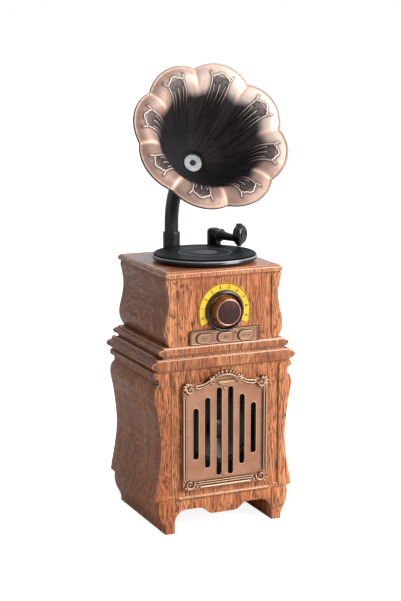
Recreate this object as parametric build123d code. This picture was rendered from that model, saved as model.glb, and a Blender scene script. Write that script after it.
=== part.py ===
from build123d import *
import math
import os

# A small table loudspeaker shaped like a pedestal gramophone: a lower cabinet on a scalloped base,
# an upper cabinet with dial, knob and buttons, a deck with platter, tonearm and a lobed horn.
# Units are millimetres. Z is up, the front faces -Y, and the origin is on the floor under the
# middle of the cabinet.

os.makedirs("parts", exist_ok=True)

# ---------------------------------------------------------------- driving dimensions
# Cabinet, outside. Every half width below is the cornice's half width less an inset.
CORNICE_HALF = 50.0
BODY_DEPTH = 78.0
BASE_HEIGHT = 21.6
LOWER_HEIGHT = 84.8
CORNICE_HEIGHT = 8.0
NECK_HEIGHT = 1.6
PLINTH_HEIGHT = 5.7
UPPER_HEIGHT = 43.5
DECK_THICKNESS = 4.1

# Insets of the side outline from the cornice's edge
FOOT_INSET = 9.0
SKIRT_INSET = 4.5
BASE_TOP_INSET = 4.9
FLARE_INSET = 1.8
WAIST_INSET = 6.5
SHOULDER_INSET = 2.2
CAPITAL_NOTCH_INSET = 5.2
CAPITAL_INSET = 2.3
PLINTH_INSET = 4.7
NECK_INSET = 8.2
UPPER_FOOT_INSET = 12.6
UPPER_BELLY_INSET = 9.0
UPPER_WAIST_INSET = 12.1
UPPER_HEAD_INSET = 10.2
DECK_INSET = 9.8

# Overhangs of the mouldings past the flat front and back
MOULDING_OVERHANG = 1.6
DECK_MARGIN = 1.9
PILASTER_PROUD = 0.6
EDGE_BREAK = 0.7

# Boards
FRONT_THICKNESS = 2.8
BACK_THICKNESS = 2.8
LOWER_SIDE_WALL = 4.0
UPPER_SIDE_WALL = 3.3
WIRE_WAY = 26.0

# Base
LEG_WIDTH = 6.5
SKIRT_BACK_WALL = 4.0
APRON_THICKNESS = 4.0
APRON_RECESS = 0.7
APRON_LOBE_HEIGHT = 9.9
APRON_ARCH_HEIGHT = 14.7
APRON_LOBE_HALF = 7.0
APRON_RISE = 10.5
APRON_ARCH_FLAT = 8.5
LEDGE_WIDTH = 4.0
LEDGE_HEIGHT = 3.0
BOTTOM_THICKNESS = 3.0
FIT = 0.2

# Grille
PLAQUE_HALF = 29.7
PLAQUE_LIFT = 6.4
PLAQUE_HEIGHT = 69.5
PLAQUE_THICKNESS = 1.4
FRAME_WIDTH = 3.1
FRAME_PROUD = 1.1
CREST_WIDTH = 23.0
CREST_HEIGHT = 7.0
SCROLL_RADIUS = 3.6
SLOT_WIDTH = 3.9
SLOT_PITCH = 8.05
SLOT_LIFT = 42.7
SLOT_LENGTHS = (58.0, 46.4, 33.8)

# Loudspeaker driver, centred behind the slots
DRIVER_LIFT = 41.4
BAFFLE_THICKNESS = 2.4
DRIVER_FLANGE_R = 25.5
DRIVER_CONE_R = 18.6
DRIVER_DEPTH = 13.4
MAGNET_R = 15.0
MAGNET_LENGTH = 9.0
COIL_R = 6.0
CONE_TRAVEL_GAP = 0.4

# Dial, knob and buttons
DIAL_LIFT = 20.6
DIAL_OUTER_R = 17.9
DIAL_INNER_R = 13.0
DIAL_HALF_ANGLE = 119.0
DIAL_THICKNESS = 0.5
BEZEL_R = 12.8
BEZEL_WALL = 2.2
BEZEL_HEIGHT = 2.5
BEZEL_FLOOR = 0.7
KNOB_R = 8.6
KNOB_SKIRT_R = 9.8
KNOB_FACE = 7.2
KNOB_CAP_THICKNESS = 1.5
SHAFT_R = 1.5
BUSHING_R = 3.4
POT_SIZE = 11.0
POT_DEPTH = 5.5
PLATE_MARGIN = 2.7
PLATE_HEIGHT = 9.2
PLATE_THICKNESS = 1.1
BUTTON_LENGTH = 11.4
BUTTON_HEIGHT = 6.2
BUTTON_SPACING = 3.0
BUTTON_SHIFT = 0.4
BUTTON_LIFT = 4.0
BUTTON_PROUD = 0.6
BUTTON_GAP = 0.15
BUTTON_TRAVEL = 0.6
LED_R = 0.6
LED_LIFT = 6.0

# Platter and record
PLATTER_X = 2.0
PLATTER_Y = -4.5
PLATTER_R = 34.0
PLATTER_GAP = 1.9
PLATTER_THICKNESS = 2.2
RECORD_R = 33.0
RECORD_THICKNESS = 1.2
AXLE_R = 1.5
BUSH_R = 3.0
BUSH_FLANGE_R = 4.5
RUNNING = 0.05

# Horn
SOCKET_X = -4.5
SOCKET_WALL = 1.0
SOCKET_CLEARANCE = 0.33
SOCKET_HEIGHT = 13.8
NECK_R = 4.65
NECK_WALL = 1.2
NECK_RISE = 18.7
NECK_BEND_R = 33.0
NECK_RUN = 31.0
HORN_TILT = 29.1
HORN_TURN = 5.8
BELL_DEPTH = 41.4
BELL_NOTCH_R = 45.1
BELL_LOBE_R = 48.8
BELL_LOBES = 8
BELL_PHASE = 94.0
BELL_WALL = 1.2
BELL_CORE_R = 31.0
THROAT_R = 6.2
THROAT_FLOOR = 2.0
SLEEVE_WALL = 1.7
SLEEVE_LENGTH = 6.0
WASHER_R = 5.65
WASHER_THICKNESS = 0.8

# Tonearm
ARM_X = 24.2
ARM_CLEARANCE = 1.4
ARM_POST_R = 4.7
ARM_BASE_R = 5.2
ARM_BASE_HEIGHT = 4.1
ARM_POST_HEIGHT = 11.0
ARM_PIN_R = 1.6
ARM_TUBE_R = 2.9
ARM_TIP_R = 2.1
ARM_RING_R = 3.6
ARM_LENGTH = 25.0
ARM_HEADING = 16.5
ARM_SLOPE = 5.0
ARM_TUBE_DROP = 4.0
SOUNDBOX_R = 6.9
SOUNDBOX_THICKNESS = 4.4
SOUNDBOX_TURN = 44.0

# Electrics at the back
BATTERY_R = 9.1
BATTERY_LENGTH = 65.0
BATTERY_Y = 14.0
BOARD_THICKNESS = 1.6
BOARD_HALF = 26.0
BOARD_HEIGHT = 46.0
BOARD_LIFT = 12.0
SOCKET_ROW = 8.0
BACK_SPACE = 5.2
CHARGE_X = -14.0
CHARGE_WIDTH = 9.0
CHARGE_HEIGHT = 3.3
AUX_X = 2.0
AUX_BORE_R = 1.8
AUX_BARREL_R = 2.9
SWITCH_X = 16.0
SWITCH_WIDTH = 8.6
SWITCH_HEIGHT = 4.4
SLIDER_WIDTH = 2.4
SLIDER_HEIGHT = 1.8
SLIDER_TRAVEL = 2.5
SCREW_R = 1.0
SCREW_HEAD_R = 2.0
SCREW_HEAD_HEIGHT = 1.0

# ---------------------------------------------------------------- levels worked out from them
Z_BASE = BASE_HEIGHT
Z_LOWER = Z_BASE + LOWER_HEIGHT
Z_CORNICE = Z_LOWER + CORNICE_HEIGHT
Z_NECK = Z_CORNICE + NECK_HEIGHT
Z_PLINTH = Z_NECK + PLINTH_HEIGHT
Z_UPPER = Z_PLINTH + UPPER_HEIGHT
Z_DECK = Z_UPPER + DECK_THICKNESS

Y_FRONT = -BODY_DEPTH / 2
Y_BACK = BODY_DEPTH / 2
Y_INSIDE_FRONT = Y_FRONT + FRONT_THICKNESS
Y_INSIDE_BACK = Y_BACK - BACK_THICKNESS
Z_PLATE_BOTTOM = Z_PLINTH + FIT
Z_BUTTON = Z_PLATE_BOTTOM + BUTTON_LIFT
Y_PLATE = Y_FRONT - PLATE_THICKNESS
PLAQUE_BOTTOM = Z_BASE + PLAQUE_LIFT
PLAQUE_TOP = PLAQUE_BOTTOM + PLAQUE_HEIGHT
SLOT_MIDDLE = Z_BASE + SLOT_LIFT
DRIVER_Z = Z_BASE + DRIVER_LIFT
DIAL_Z = Z_PLINTH + DIAL_LIFT
BUTTON_PITCH = BUTTON_LENGTH + BUTTON_SPACING
PLATE_HALF = 1.5 * BUTTON_PITCH + PLATE_MARGIN
LED_X = BUTTON_SHIFT + BUTTON_PITCH / 2
WAIST_HALF = CORNICE_HALF - WAIST_INSET
UPPER_WAIST_HALF = CORNICE_HALF - UPPER_WAIST_INSET
LOWER_INNER = WAIST_HALF - LOWER_SIDE_WALL
UPPER_INNER = UPPER_WAIST_HALF - UPPER_SIDE_WALL
LEG_INNER = CORNICE_HALF - FOOT_INSET - LEG_WIDTH
Z_BOTTOM_BOARD = Z_BASE - BOTTOM_THICKNESS - FIT
Z_FLOOR_INSIDE = Z_BOTTOM_BOARD + BOTTOM_THICKNESS


# ---------------------------------------------------------------- helpers
def behind_platter(x, radius, clearance):
    """Y of an upright round piece at x that stands behind the platter, this far clear of its rim."""
    reach = PLATTER_R + clearance + radius
    return PLATTER_Y + math.sqrt(reach**2 - (x - PLATTER_X) ** 2)


SOCKET_R = NECK_R + RUNNING + SOCKET_WALL
SOCKET_Y = behind_platter(SOCKET_X, SOCKET_R, SOCKET_CLEARANCE)
ARM_Y = behind_platter(ARM_X, ARM_BASE_R, ARM_CLEARANCE)
Y_DECK_BACK = SOCKET_Y + SOCKET_R + DECK_MARGIN


def save(node, shape):
    """Write one node as its own STEP file."""
    export_step(shape, f"parts/{node}.step")


def smooth(points):
    """A straight edge through two points, or one smooth curve through more."""
    if len(points) == 2:
        return Line(*points)
    return Spline(*points)


def whole_section(runs):
    """The face between a right-hand outline, its mirror image, and level top and bottom."""
    right = [smooth(run) for run in runs]
    left = [mirror(edge, Plane.YZ) for edge in right]
    low_x, low_z = runs[0][0]
    high_x, high_z = runs[-1][-1]
    ends = [Line((-low_x, low_z), (low_x, low_z)), Line((-high_x, high_z), (high_x, high_z))]
    return make_face([*right, *left, *ends])


def half_section(runs, inner):
    """The face between a right-hand outline and the upright line x = inner."""
    right = [smooth(run) for run in runs]
    low_x, low_z = runs[0][0]
    high_x, high_z = runs[-1][-1]
    rest = [
        Line((low_x, low_z), (inner, low_z)),
        Line((inner, low_z), (inner, high_z)),
        Line((inner, high_z), (high_x, high_z)),
    ]
    return make_face([*right, *rest])


def board(face, y_front, y_back):
    """A board of this XZ section, from y_front to y_back."""
    placed = Plane.XZ.offset(-y_back) * face
    return extrude(placed, amount=y_back - y_front, dir=(0, -1, 0))


def block(x0, x1, y0, y1, z0, z1):
    """A box between two corners."""
    middle = ((x0 + x1) / 2, (y0 + y1) / 2, (z0 + z1) / 2)
    return Pos(*middle) * Box(x1 - x0, y1 - y0, z1 - z0)


def rod(x, y, z0, z1, radius):
    """An upright cylinder."""
    return Pos(x, y, (z0 + z1) / 2) * Cylinder(radius, z1 - z0)


def rod_y(x, z, y0, y1, radius):
    """A cylinder along Y."""
    return Pos(x, (y0 + y1) / 2, z) * Rot(90, 0, 0) * Cylinder(radius, y1 - y0)


def mirrored(shape):
    """The same shape on the other side of the cabinet."""
    return mirror(shape, Plane.YZ)


def front_edges_broken(shape, size):
    """Bevel the long edges at the front."""
    return chamfer(shape.edges().filter_by(Axis.X).group_by(Axis.Y)[0], size)


def half(inset):
    """Half width of the outline at this inset from the cornice's edge."""
    return CORNICE_HALF - inset


# ---------------------------------------------------------------- side outlines, bottom to top
def skirt_runs():
    return [
        [
            (half(FOOT_INSET), 0),
            (half(FOOT_INSET) + 0.3, 0.2 * BASE_HEIGHT),
            (half(SKIRT_INSET) - 1.6, 0.45 * BASE_HEIGHT),
            (half(SKIRT_INSET), 0.78 * BASE_HEIGHT),
            (half(BASE_TOP_INSET), BASE_HEIGHT),
        ]
    ]


def lower_runs():
    flare = half(FLARE_INSET)
    shoulder = half(SHOULDER_INSET)
    notch = half(CAPITAL_NOTCH_INSET)
    capital = half(CAPITAL_INSET)
    rise = LOWER_HEIGHT
    return [
        [(half(BASE_TOP_INSET), Z_BASE), (flare, Z_BASE + 1.2)],
        [
            (flare, Z_BASE + 1.2),
            (flare - 1.5, Z_BASE + 0.12 * rise),
            (WAIST_HALF + 0.7, Z_BASE + 0.29 * rise),
            (WAIST_HALF, Z_BASE + 0.42 * rise),
            (WAIST_HALF + 1.1, Z_BASE + 0.58 * rise),
            (shoulder - 1.3, Z_BASE + 0.73 * rise),
            (shoulder, Z_BASE + 0.83 * rise),
            (shoulder - 0.8, Z_BASE + 0.875 * rise),
            (notch, Z_BASE + 0.905 * rise),
        ],
        [(notch, Z_BASE + 0.905 * rise), (notch, Z_LOWER - 5.0)],
        [(notch, Z_LOWER - 5.0), (capital, Z_LOWER - 3.6)],
        [(capital, Z_LOWER - 3.6), (capital, Z_LOWER - 0.8)],
        [(capital, Z_LOWER - 0.8), (capital - 0.8, Z_LOWER)],
    ]


def cornice_runs():
    edge = CORNICE_HALF
    rise = CORNICE_HEIGHT
    return [
        [(edge - 4.4, Z_LOWER), (edge - 3.2, Z_LOWER + 0.16 * rise)],
        [(edge - 3.2, Z_LOWER + 0.16 * rise), (edge - 1.6, Z_LOWER + 0.22 * rise)],
        [
            (edge - 1.6, Z_LOWER + 0.22 * rise),
            (edge, Z_LOWER + 0.48 * rise),
            (edge - 1.6, Z_LOWER + 0.74 * rise),
        ],
        [(edge - 1.6, Z_LOWER + 0.74 * rise), (edge - 3.4, Z_LOWER + 0.78 * rise)],
        [(edge - 3.4, Z_LOWER + 0.78 * rise), (edge - 4.2, Z_CORNICE)],
    ]


def neck_runs():
    return [[(half(NECK_INSET), Z_CORNICE), (half(NECK_INSET), Z_NECK)]]


def plinth_runs():
    edge = half(PLINTH_INSET)
    rise = PLINTH_HEIGHT
    return [
        [(edge - 3.0, Z_NECK), (edge - 1.5, Z_NECK + 0.15 * rise)],
        [
            (edge - 1.5, Z_NECK + 0.15 * rise),
            (edge, Z_NECK + 0.45 * rise),
            (edge - 1.5, Z_NECK + 0.75 * rise),
        ],
        [(edge - 1.5, Z_NECK + 0.75 * rise), (edge - 3.2, Z_NECK + 0.8 * rise)],
        [(edge - 3.2, Z_NECK + 0.8 * rise), (edge - 4.4, Z_PLINTH)],
    ]


def upper_runs():
    foot = half(UPPER_FOOT_INSET)
    belly = half(UPPER_BELLY_INSET)
    waist = UPPER_WAIST_HALF
    head = half(UPPER_HEAD_INSET)
    rise = UPPER_HEIGHT
    return [
        [
            (foot, Z_PLINTH),
            (foot + 1.4, Z_PLINTH + 0.05 * rise),
            (belly, Z_PLINTH + 0.21 * rise),
            (belly - 1.0, Z_PLINTH + 0.36 * rise),
            (waist + 0.3, Z_PLINTH + 0.55 * rise),
            (waist, Z_PLINTH + 0.72 * rise),
            (head - 0.5, Z_PLINTH + 0.90 * rise),
            (head, Z_PLINTH + 0.95 * rise),
        ],
        [(head, Z_PLINTH + 0.95 * rise), (head - 0.4, Z_UPPER)],
    ]


def deck_runs():
    edge = half(DECK_INSET)
    rise = DECK_THICKNESS
    return [
        [(edge - 1.0, Z_UPPER), (edge - 0.2, Z_UPPER + 0.2 * rise)],
        [
            (edge - 0.2, Z_UPPER + 0.2 * rise),
            (edge, Z_UPPER + 0.42 * rise),
            (edge - 0.3, Z_UPPER + 0.65 * rise),
        ],
        [(edge - 0.3, Z_UPPER + 0.65 * rise), (edge - 1.6, Z_DECK)],
    ]


# ---------------------------------------------------------------- base
def make_base():
    """U-shaped skirt whose front ends are the legs, the scalloped apron, and the bottom board."""
    side = board(half_section(skirt_runs(), LEG_INNER), Y_FRONT - PILASTER_PROUD, Y_BACK)
    back = board(whole_section(skirt_runs()), Y_BACK - SKIRT_BACK_WALL, Y_BACK)
    ledge = block(
        LEG_INNER - LEDGE_WIDTH,
        LEG_INNER,
        Y_FRONT + APRON_THICKNESS + 2,
        Y_BACK - SKIRT_BACK_WALL,
        Z_BOTTOM_BOARD - LEDGE_HEIGHT,
        Z_BOTTOM_BOARD,
    )
    skirt = side + mirrored(side) + back + ledge + mirrored(ledge)

    rise_x = APRON_LOBE_HALF + APRON_RISE
    arch_x = rise_x + APRON_ARCH_FLAT
    low, high = APRON_LOBE_HEIGHT, APRON_ARCH_HEIGHT
    right = [
        Line((0, low), (APRON_LOBE_HALF, low)),
        Spline((APRON_LOBE_HALF, low), (rise_x, high), tangents=((1, 0), (1, 0))),
        Line((rise_x, high), (arch_x, high)),
        Spline((arch_x, high), (LEG_INNER, 0.6 * low), tangents=((1, 0), (0.25, -1))),
        Line((LEG_INNER, 0.6 * low), (LEG_INNER, Z_BASE)),
    ]
    left = [mirror(edge, Plane.YZ) for edge in right]
    top = Line((-LEG_INNER, Z_BASE), (LEG_INNER, Z_BASE))
    y_apron = Y_FRONT - PILASTER_PROUD + APRON_RECESS
    apron = board(make_face([*right, *left, top]), y_apron, y_apron + APRON_THICKNESS)

    floor = block(
        -LEG_INNER + FIT,
        LEG_INNER - FIT,
        y_apron + APRON_THICKNESS + FIT,
        Y_BACK - SKIRT_BACK_WALL - FIT,
        Z_BOTTOM_BOARD,
        Z_FLOOR_INSIDE,
    )
    holes = []
    bodies = []
    x_screw = LEG_INNER - LEDGE_WIDTH / 2
    z_head = Z_BOTTOM_BOARD - LEDGE_HEIGHT
    for x in (-x_screw, x_screw):
        for y in (Y_FRONT + 11, Y_BACK - 11):
            shank = rod(x, y, z_head, Z_FLOOR_INSIDE - 0.6, SCREW_R)
            head = rod(x, y, z_head - SCREW_HEAD_HEIGHT, z_head, SCREW_HEAD_R - 0.2)
            bodies.append(shank + head)
            holes.append(rod(x, y, z_head - 1, Z_FLOOR_INSIDE - 0.6, SCREW_R))
    saddle_top = Z_FLOOR_INSIDE + 0.6 * BATTERY_R
    for x in (-20, 20):
        floor += block(x - 2, x + 2, BATTERY_Y - 10, BATTERY_Y + 10, Z_FLOOR_INSIDE, saddle_top)
    cell_z = Z_FLOOR_INSIDE + BATTERY_R + 0.4
    cell = Pos(0, BATTERY_Y, cell_z) * Rot(0, 90, 0) * Cylinder(BATTERY_R, BATTERY_LENGTH)
    floor -= Pos(0, BATTERY_Y, cell_z) * Rot(0, 90, 0) * Cylinder(BATTERY_R, BATTERY_LENGTH + 10)
    for hole in holes:
        skirt -= hole
        floor -= hole
    button = Pos(BATTERY_LENGTH / 2 + 0.5, BATTERY_Y, cell_z) * Rot(0, 90, 0) * Cylinder(2.8, 1.0)

    save("base_skirt", skirt)
    save("front_apron", apron)
    save("bottom_board", floor)
    save("bottom_screws", Compound(children=bodies))
    save("battery", cell + button)


# ---------------------------------------------------------------- lower cabinet
def slot_sketch():
    """Six upright slots with round ends, longest in the middle."""
    sketch = Sketch()
    for rank, length in enumerate(SLOT_LENGTHS):
        for side in (-1, 1):
            x = side * SLOT_PITCH * (rank + 0.5)
            sketch += Pos(x, SLOT_MIDDLE) * Rot(0, 0, 90) * SlotOverall(length, SLOT_WIDTH)
    return sketch


def back_screw_places():
    """Where the eight back screws go: two rows in each cabinet."""
    lower_x = LOWER_INNER + 2.6
    upper_x = UPPER_INNER + 1.9
    places = []
    for side in (-1, 1):
        places.append((side * lower_x, Z_BASE + 7))
        places.append((side * lower_x, Z_LOWER - 14))
        places.append((side * upper_x, Z_PLINTH + 8))
        places.append((side * upper_x, Z_UPPER - 4))
    return places


def make_lower_cabinet():
    """Curved side boards between a front panel and a back panel, with pilasters at the corners."""
    side = board(half_section(lower_runs(), LOWER_INNER), Y_INSIDE_FRONT, Y_INSIDE_BACK)
    front = board(whole_section(lower_runs()), Y_FRONT, Y_INSIDE_FRONT)
    slot_tall = SLOT_LENGTHS[0] + 3
    window = RectangleRounded(6 * SLOT_PITCH + 1, slot_tall, 4)
    front -= board(Pos(0, SLOT_MIDDLE) * window, Y_FRONT - 1, Y_INSIDE_FRONT + 1)
    groove_in = LOWER_INNER - 3.3
    groove_out = LOWER_INNER - 0.6
    groove = block(groove_in, groove_out, Y_FRONT - 1, Y_FRONT + 0.6, Z_BASE + 3, Z_LOWER - 1.5)
    front -= groove + mirrored(groove)
    rail_half = LEG_INNER - 2.4
    rail = block(-rail_half, rail_half, Y_FRONT - 1.2, Y_FRONT, Z_BASE, Z_BASE + 2.2)
    rail = front_edges_broken(rail, EDGE_BREAK)
    front += rail

    pilaster = board(half_section(lower_runs(), groove_out), Y_FRONT - PILASTER_PROUD, Y_FRONT)
    keep_height = LOWER_HEIGHT - 2.2
    keep = RectangleRounded(20, keep_height, 3.0)
    keep = Pos(groove_out + 10, Z_BASE + 0.9 + keep_height / 2) * keep
    pilaster &= board(keep, Y_FRONT - 5, Y_FRONT)

    back = board(whole_section(lower_runs()), Y_INSIDE_BACK, Y_BACK)
    row = board_row()
    boss_x = BOARD_HALF - 4
    for x in (-boss_x, boss_x):
        for z in (row + 3, row + BOARD_HEIGHT - 3):
            back += rod_y(x, z, Y_INSIDE_BACK - BACK_SPACE, Y_INSIDE_BACK, 2.0)
    z_row = row + SOCKET_ROW
    back -= block(
        CHARGE_X - CHARGE_WIDTH / 2 - FIT,
        CHARGE_X + CHARGE_WIDTH / 2 + FIT,
        Y_INSIDE_BACK - 1,
        Y_BACK + 1,
        z_row - CHARGE_HEIGHT / 2 - FIT,
        z_row + CHARGE_HEIGHT / 2 + FIT,
    )
    back -= rod_y(AUX_X, z_row, Y_INSIDE_BACK - 1, Y_BACK + 1, AUX_BARREL_R + 0.1)
    back -= block(
        SWITCH_X - SLIDER_WIDTH / 2 - 0.3,
        SWITCH_X + SLIDER_WIDTH / 2 + SLIDER_TRAVEL + 0.3,
        Y_INSIDE_BACK - 1,
        Y_BACK + 1,
        z_row - SLIDER_HEIGHT / 2 - 0.3,
        z_row + SLIDER_HEIGHT / 2 + 0.3,
    )
    sides = [side, mirrored(side)]
    for x, z in back_screw_places():
        hole = rod_y(x, z, Y_INSIDE_BACK - 7, Y_BACK + 1, SCREW_R)
        back -= hole
        sides = [one - hole for one in sides]

    save("lower_side_right", sides[0])
    save("lower_side_left", sides[1])
    save("lower_front_panel", front)
    save("lower_pilasters", Compound(children=[pilaster, mirrored(pilaster)]))
    save("lower_back_panel", back)


def make_back_screws():
    """Eight pan-head screws with a cross cut in each head."""
    screws = []
    for x, z in back_screw_places():
        screw = rod_y(x, z, Y_INSIDE_BACK - 7, Y_BACK, SCREW_R)
        head = rod_y(x, z, Y_BACK, Y_BACK + SCREW_HEAD_HEIGHT, SCREW_HEAD_R)
        head = fillet(head.edges().group_by(Axis.Y)[-1], 0.5)
        y0, y1 = Y_BACK + SCREW_HEAD_HEIGHT - 0.5, Y_BACK + SCREW_HEAD_HEIGHT + 1
        cross = block(x - 1.2, x + 1.2, y0, y1, z - 0.25, z + 0.25)
        cross += block(x - 0.25, x + 0.25, y0, y1, z - 1.2, z + 1.2)
        screws.append(screw + (head - cross))
    save("back_screws", Compound(children=screws))


def board_row():
    """The lower edge of the amplifier board."""
    return Z_BASE + BOARD_LIFT


def make_electrics():
    """Amplifier board on bosses behind the back panel, with its sockets and its switch."""
    row = board_row()
    z_row = row + SOCKET_ROW
    y_board = Y_INSIDE_BACK - BACK_SPACE
    amp = block(-BOARD_HALF, BOARD_HALF, y_board - BOARD_THICKNESS, y_board, row, row + BOARD_HEIGHT)
    y_chip = y_board - BOARD_THICKNESS
    amp += block(-5, 5, y_chip - 1.6, y_chip, row + 18, row + 28)
    amp += block(-18, -12, y_chip - 1.2, y_chip, row + 20, row + 26)
    for x in (12, 20):
        amp += rod_y(x, row + 24, y_chip - 7, y_chip, 3.0)
    charge = block(
        CHARGE_X - CHARGE_WIDTH / 2,
        CHARGE_X + CHARGE_WIDTH / 2,
        y_board,
        Y_BACK - 0.3,
        z_row - CHARGE_HEIGHT / 2,
        z_row + CHARGE_HEIGHT / 2,
    )
    charge = fillet(charge.edges().filter_by(Axis.Y), CHARGE_HEIGHT / 2 - 0.1)
    well = block(
        CHARGE_X - CHARGE_WIDTH / 2 + 0.35,
        CHARGE_X + CHARGE_WIDTH / 2 - 0.35,
        Y_BACK - 6.5,
        Y_BACK,
        z_row - CHARGE_HEIGHT / 2 + 0.35,
        z_row + CHARGE_HEIGHT / 2 - 0.35,
    )
    charge -= fillet(well.edges().filter_by(Axis.Y), CHARGE_HEIGHT / 2 - 0.5)
    charge += block(CHARGE_X - 3.2, CHARGE_X + 3.2, y_board, Y_BACK - 1.2, z_row - 0.35, z_row + 0.35)

    aux = block(AUX_X - 3.6, AUX_X + 3.6, y_board, Y_INSIDE_BACK, z_row - 3.4, z_row + 3.4)
    aux += rod_y(AUX_X, z_row, Y_INSIDE_BACK, Y_BACK, AUX_BARREL_R)
    aux -= rod_y(AUX_X, z_row, y_board + 0.6, Y_BACK + 1, AUX_BORE_R)

    switch = block(
        SWITCH_X + SLIDER_TRAVEL / 2 - SWITCH_WIDTH / 2,
        SWITCH_X + SLIDER_TRAVEL / 2 + SWITCH_WIDTH / 2,
        y_board,
        Y_INSIDE_BACK - 0.4,
        z_row - SWITCH_HEIGHT / 2,
        z_row + SWITCH_HEIGHT / 2,
    )
    slider = block(
        SWITCH_X - SLIDER_WIDTH / 2,
        SWITCH_X + SLIDER_WIDTH / 2,
        Y_INSIDE_BACK - 0.3,
        Y_BACK + 1.0,
        z_row - SLIDER_HEIGHT / 2,
        z_row + SLIDER_HEIGHT / 2,
    )
    for step in (-0.6, 0.0, 0.6):
        slider -= block(
            SWITCH_X + step - 0.12,
            SWITCH_X + step + 0.12,
            Y_BACK + 0.7,
            Y_BACK + 2,
            z_row - 2,
            z_row + 2,
        )
    save("amp_board", amp)
    save("charge_socket", charge)
    save("aux_socket", aux)
    save("power_switch", switch)
    save("power_slider", slider)


def make_grille():
    """Slotted plaque over the window, with a raised frame that has a crest and corner scrolls."""
    height = PLAQUE_TOP - PLAQUE_BOTTOM
    middle = (PLAQUE_TOP + PLAQUE_BOTTOM) / 2
    plate = Pos(0, middle) * RectangleRounded(2 * PLAQUE_HALF, height, 3)
    crest = Pos(0, PLAQUE_TOP) * Ellipse(CREST_WIDTH / 2, CREST_HEIGHT)
    outline = plate + crest
    inner_half = PLAQUE_HALF - FRAME_WIDTH
    window = Pos(0, middle) * RectangleRounded(2 * inner_half, height - 2 * FRAME_WIDTH - 1.5, 4)
    scrolls = Sketch()
    for x in (-PLAQUE_HALF + SCROLL_RADIUS, PLAQUE_HALF - SCROLL_RADIUS):
        for z in (PLAQUE_BOTTOM + SCROLL_RADIUS, PLAQUE_TOP - SCROLL_RADIUS):
            scrolls += Pos(x, z) * Circle(SCROLL_RADIUS)
    y_plaque = Y_FRONT - PLAQUE_THICKNESS
    plaque = board(outline - slot_sketch(), y_plaque, Y_FRONT)
    frame = board((outline - window) + scrolls, y_plaque - FRAME_PROUD, y_plaque)
    save("grille_plaque", plaque)
    save("grille_frame", frame)


def make_driver():
    """Round driver on a baffle board behind the grille; its cone moves along Y."""
    y_baffle = Y_INSIDE_FRONT + BAFFLE_THICKNESS
    reach = LOWER_INNER - 4
    baffle = block(-reach, reach, Y_INSIDE_FRONT, y_baffle, Z_BASE + 5, Z_LOWER - 6)
    surround_out = DRIVER_CONE_R + CONE_TRAVEL_GAP + 3.6
    baffle -= rod_y(0, DRIVER_Z, Y_INSIDE_FRONT - 1, y_baffle + 1, surround_out + 0.2)

    y_rim = y_baffle + 1.2
    y_plate = y_baffle + DRIVER_DEPTH
    rim_in = DRIVER_CONE_R + CONE_TRAVEL_GAP
    shell = [
        (rim_in, y_baffle),
        (DRIVER_FLANGE_R, y_baffle),
        (DRIVER_FLANGE_R, y_rim),
        (22.0, y_rim),
        (MAGNET_R, y_plate),
        (COIL_R + 0.6, y_plate),
        (COIL_R + 0.6, y_plate - 1.2),
        (MAGNET_R - 1.2, y_plate - 1.2),
        (20.6, y_rim),
        (rim_in, y_rim),
    ]
    basket = spin(shell, DRIVER_Z)
    for turn in range(6):
        arm = Pos(0, 0, DRIVER_Z) * Rot(0, 60 * turn + 30, 0)
        basket -= arm * block(16.5, 24, y_rim + 2, y_plate - 2.2, -4.5, 4.5)
    screws = []
    for turn in range(4):
        angle = math.radians(45 + 90 * turn)
        x = (surround_out + 1.5) * math.cos(angle)
        z = DRIVER_Z + (surround_out + 1.5) * math.sin(angle)
        hole = rod_y(x, z, Y_INSIDE_FRONT, y_rim + 1, 0.7)
        baffle -= hole
        basket -= hole
        screws.append(
            rod_y(x, z, Y_INSIDE_FRONT + 0.3, y_rim, 0.7) + rod_y(x, z, y_rim, y_rim + 0.8, 1.3)
        )
    magnet = rod_y(0, DRIVER_Z, y_plate, y_plate + MAGNET_LENGTH, MAGNET_R)
    magnet = chamfer(magnet.edges().group_by(Axis.Y)[-1], 0.8)
    y_cone = y_baffle - 0.2
    y_apex = y_baffle + 6.4
    cone = spin(
        [
            (DRIVER_CONE_R, y_cone),
            (DRIVER_CONE_R, y_cone + 0.6),
            (COIL_R, y_apex + 0.6),
            (COIL_R, y_plate - 1.6),
            (COIL_R - 0.5, y_plate - 1.6),
            (COIL_R - 0.5, y_apex),
        ],
        DRIVER_Z,
    )
    slope = (y_apex - y_cone) / (DRIVER_CONE_R - COIL_R + 0.5)
    dome_r = COIL_R + 0.6
    y_dome = y_cone + slope * (DRIVER_CONE_R - dome_r)
    wall = 0.4
    angles = [math.radians(15 * step) for step in range(6)]
    front_arc = [(dome_r * math.sin(a), y_dome - wall - 3.0 * math.cos(a)) for a in angles]
    back_arc = [((dome_r - wall) * math.sin(a), y_dome - 3.0 * math.cos(a)) for a in reversed(angles)]
    lip_r = dome_r + 1.0
    y_lip = y_dome - slope * (lip_r - dome_r)
    lip = [(dome_r, y_dome - wall), (lip_r, y_lip - wall), (lip_r, y_lip), (dome_r - wall, y_dome + slope * wall)]
    cap = spin([*front_arc, *lip, *back_arc], DRIVER_Z)
    roll_mid = (rim_in + surround_out) / 2
    roll_r = (surround_out - rim_in) / 2
    roll = Pos(0, y_baffle, DRIVER_Z) * Rot(90, 0, 0) * Torus(roll_mid, roll_r - 0.1)
    roll -= Pos(0, y_baffle, DRIVER_Z) * Rot(90, 0, 0) * Torus(roll_mid, roll_r - 0.6)
    roll &= rod_y(0, DRIVER_Z, y_baffle - 4, y_baffle, surround_out)
    save("baffle_board", baffle)
    save("driver_basket", basket)
    save("driver_magnet", magnet)
    save("driver_cone", cone)
    save("dust_cap", cap)
    save("driver_surround", roll)
    save("driver_screws", Compound(children=screws))


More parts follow.
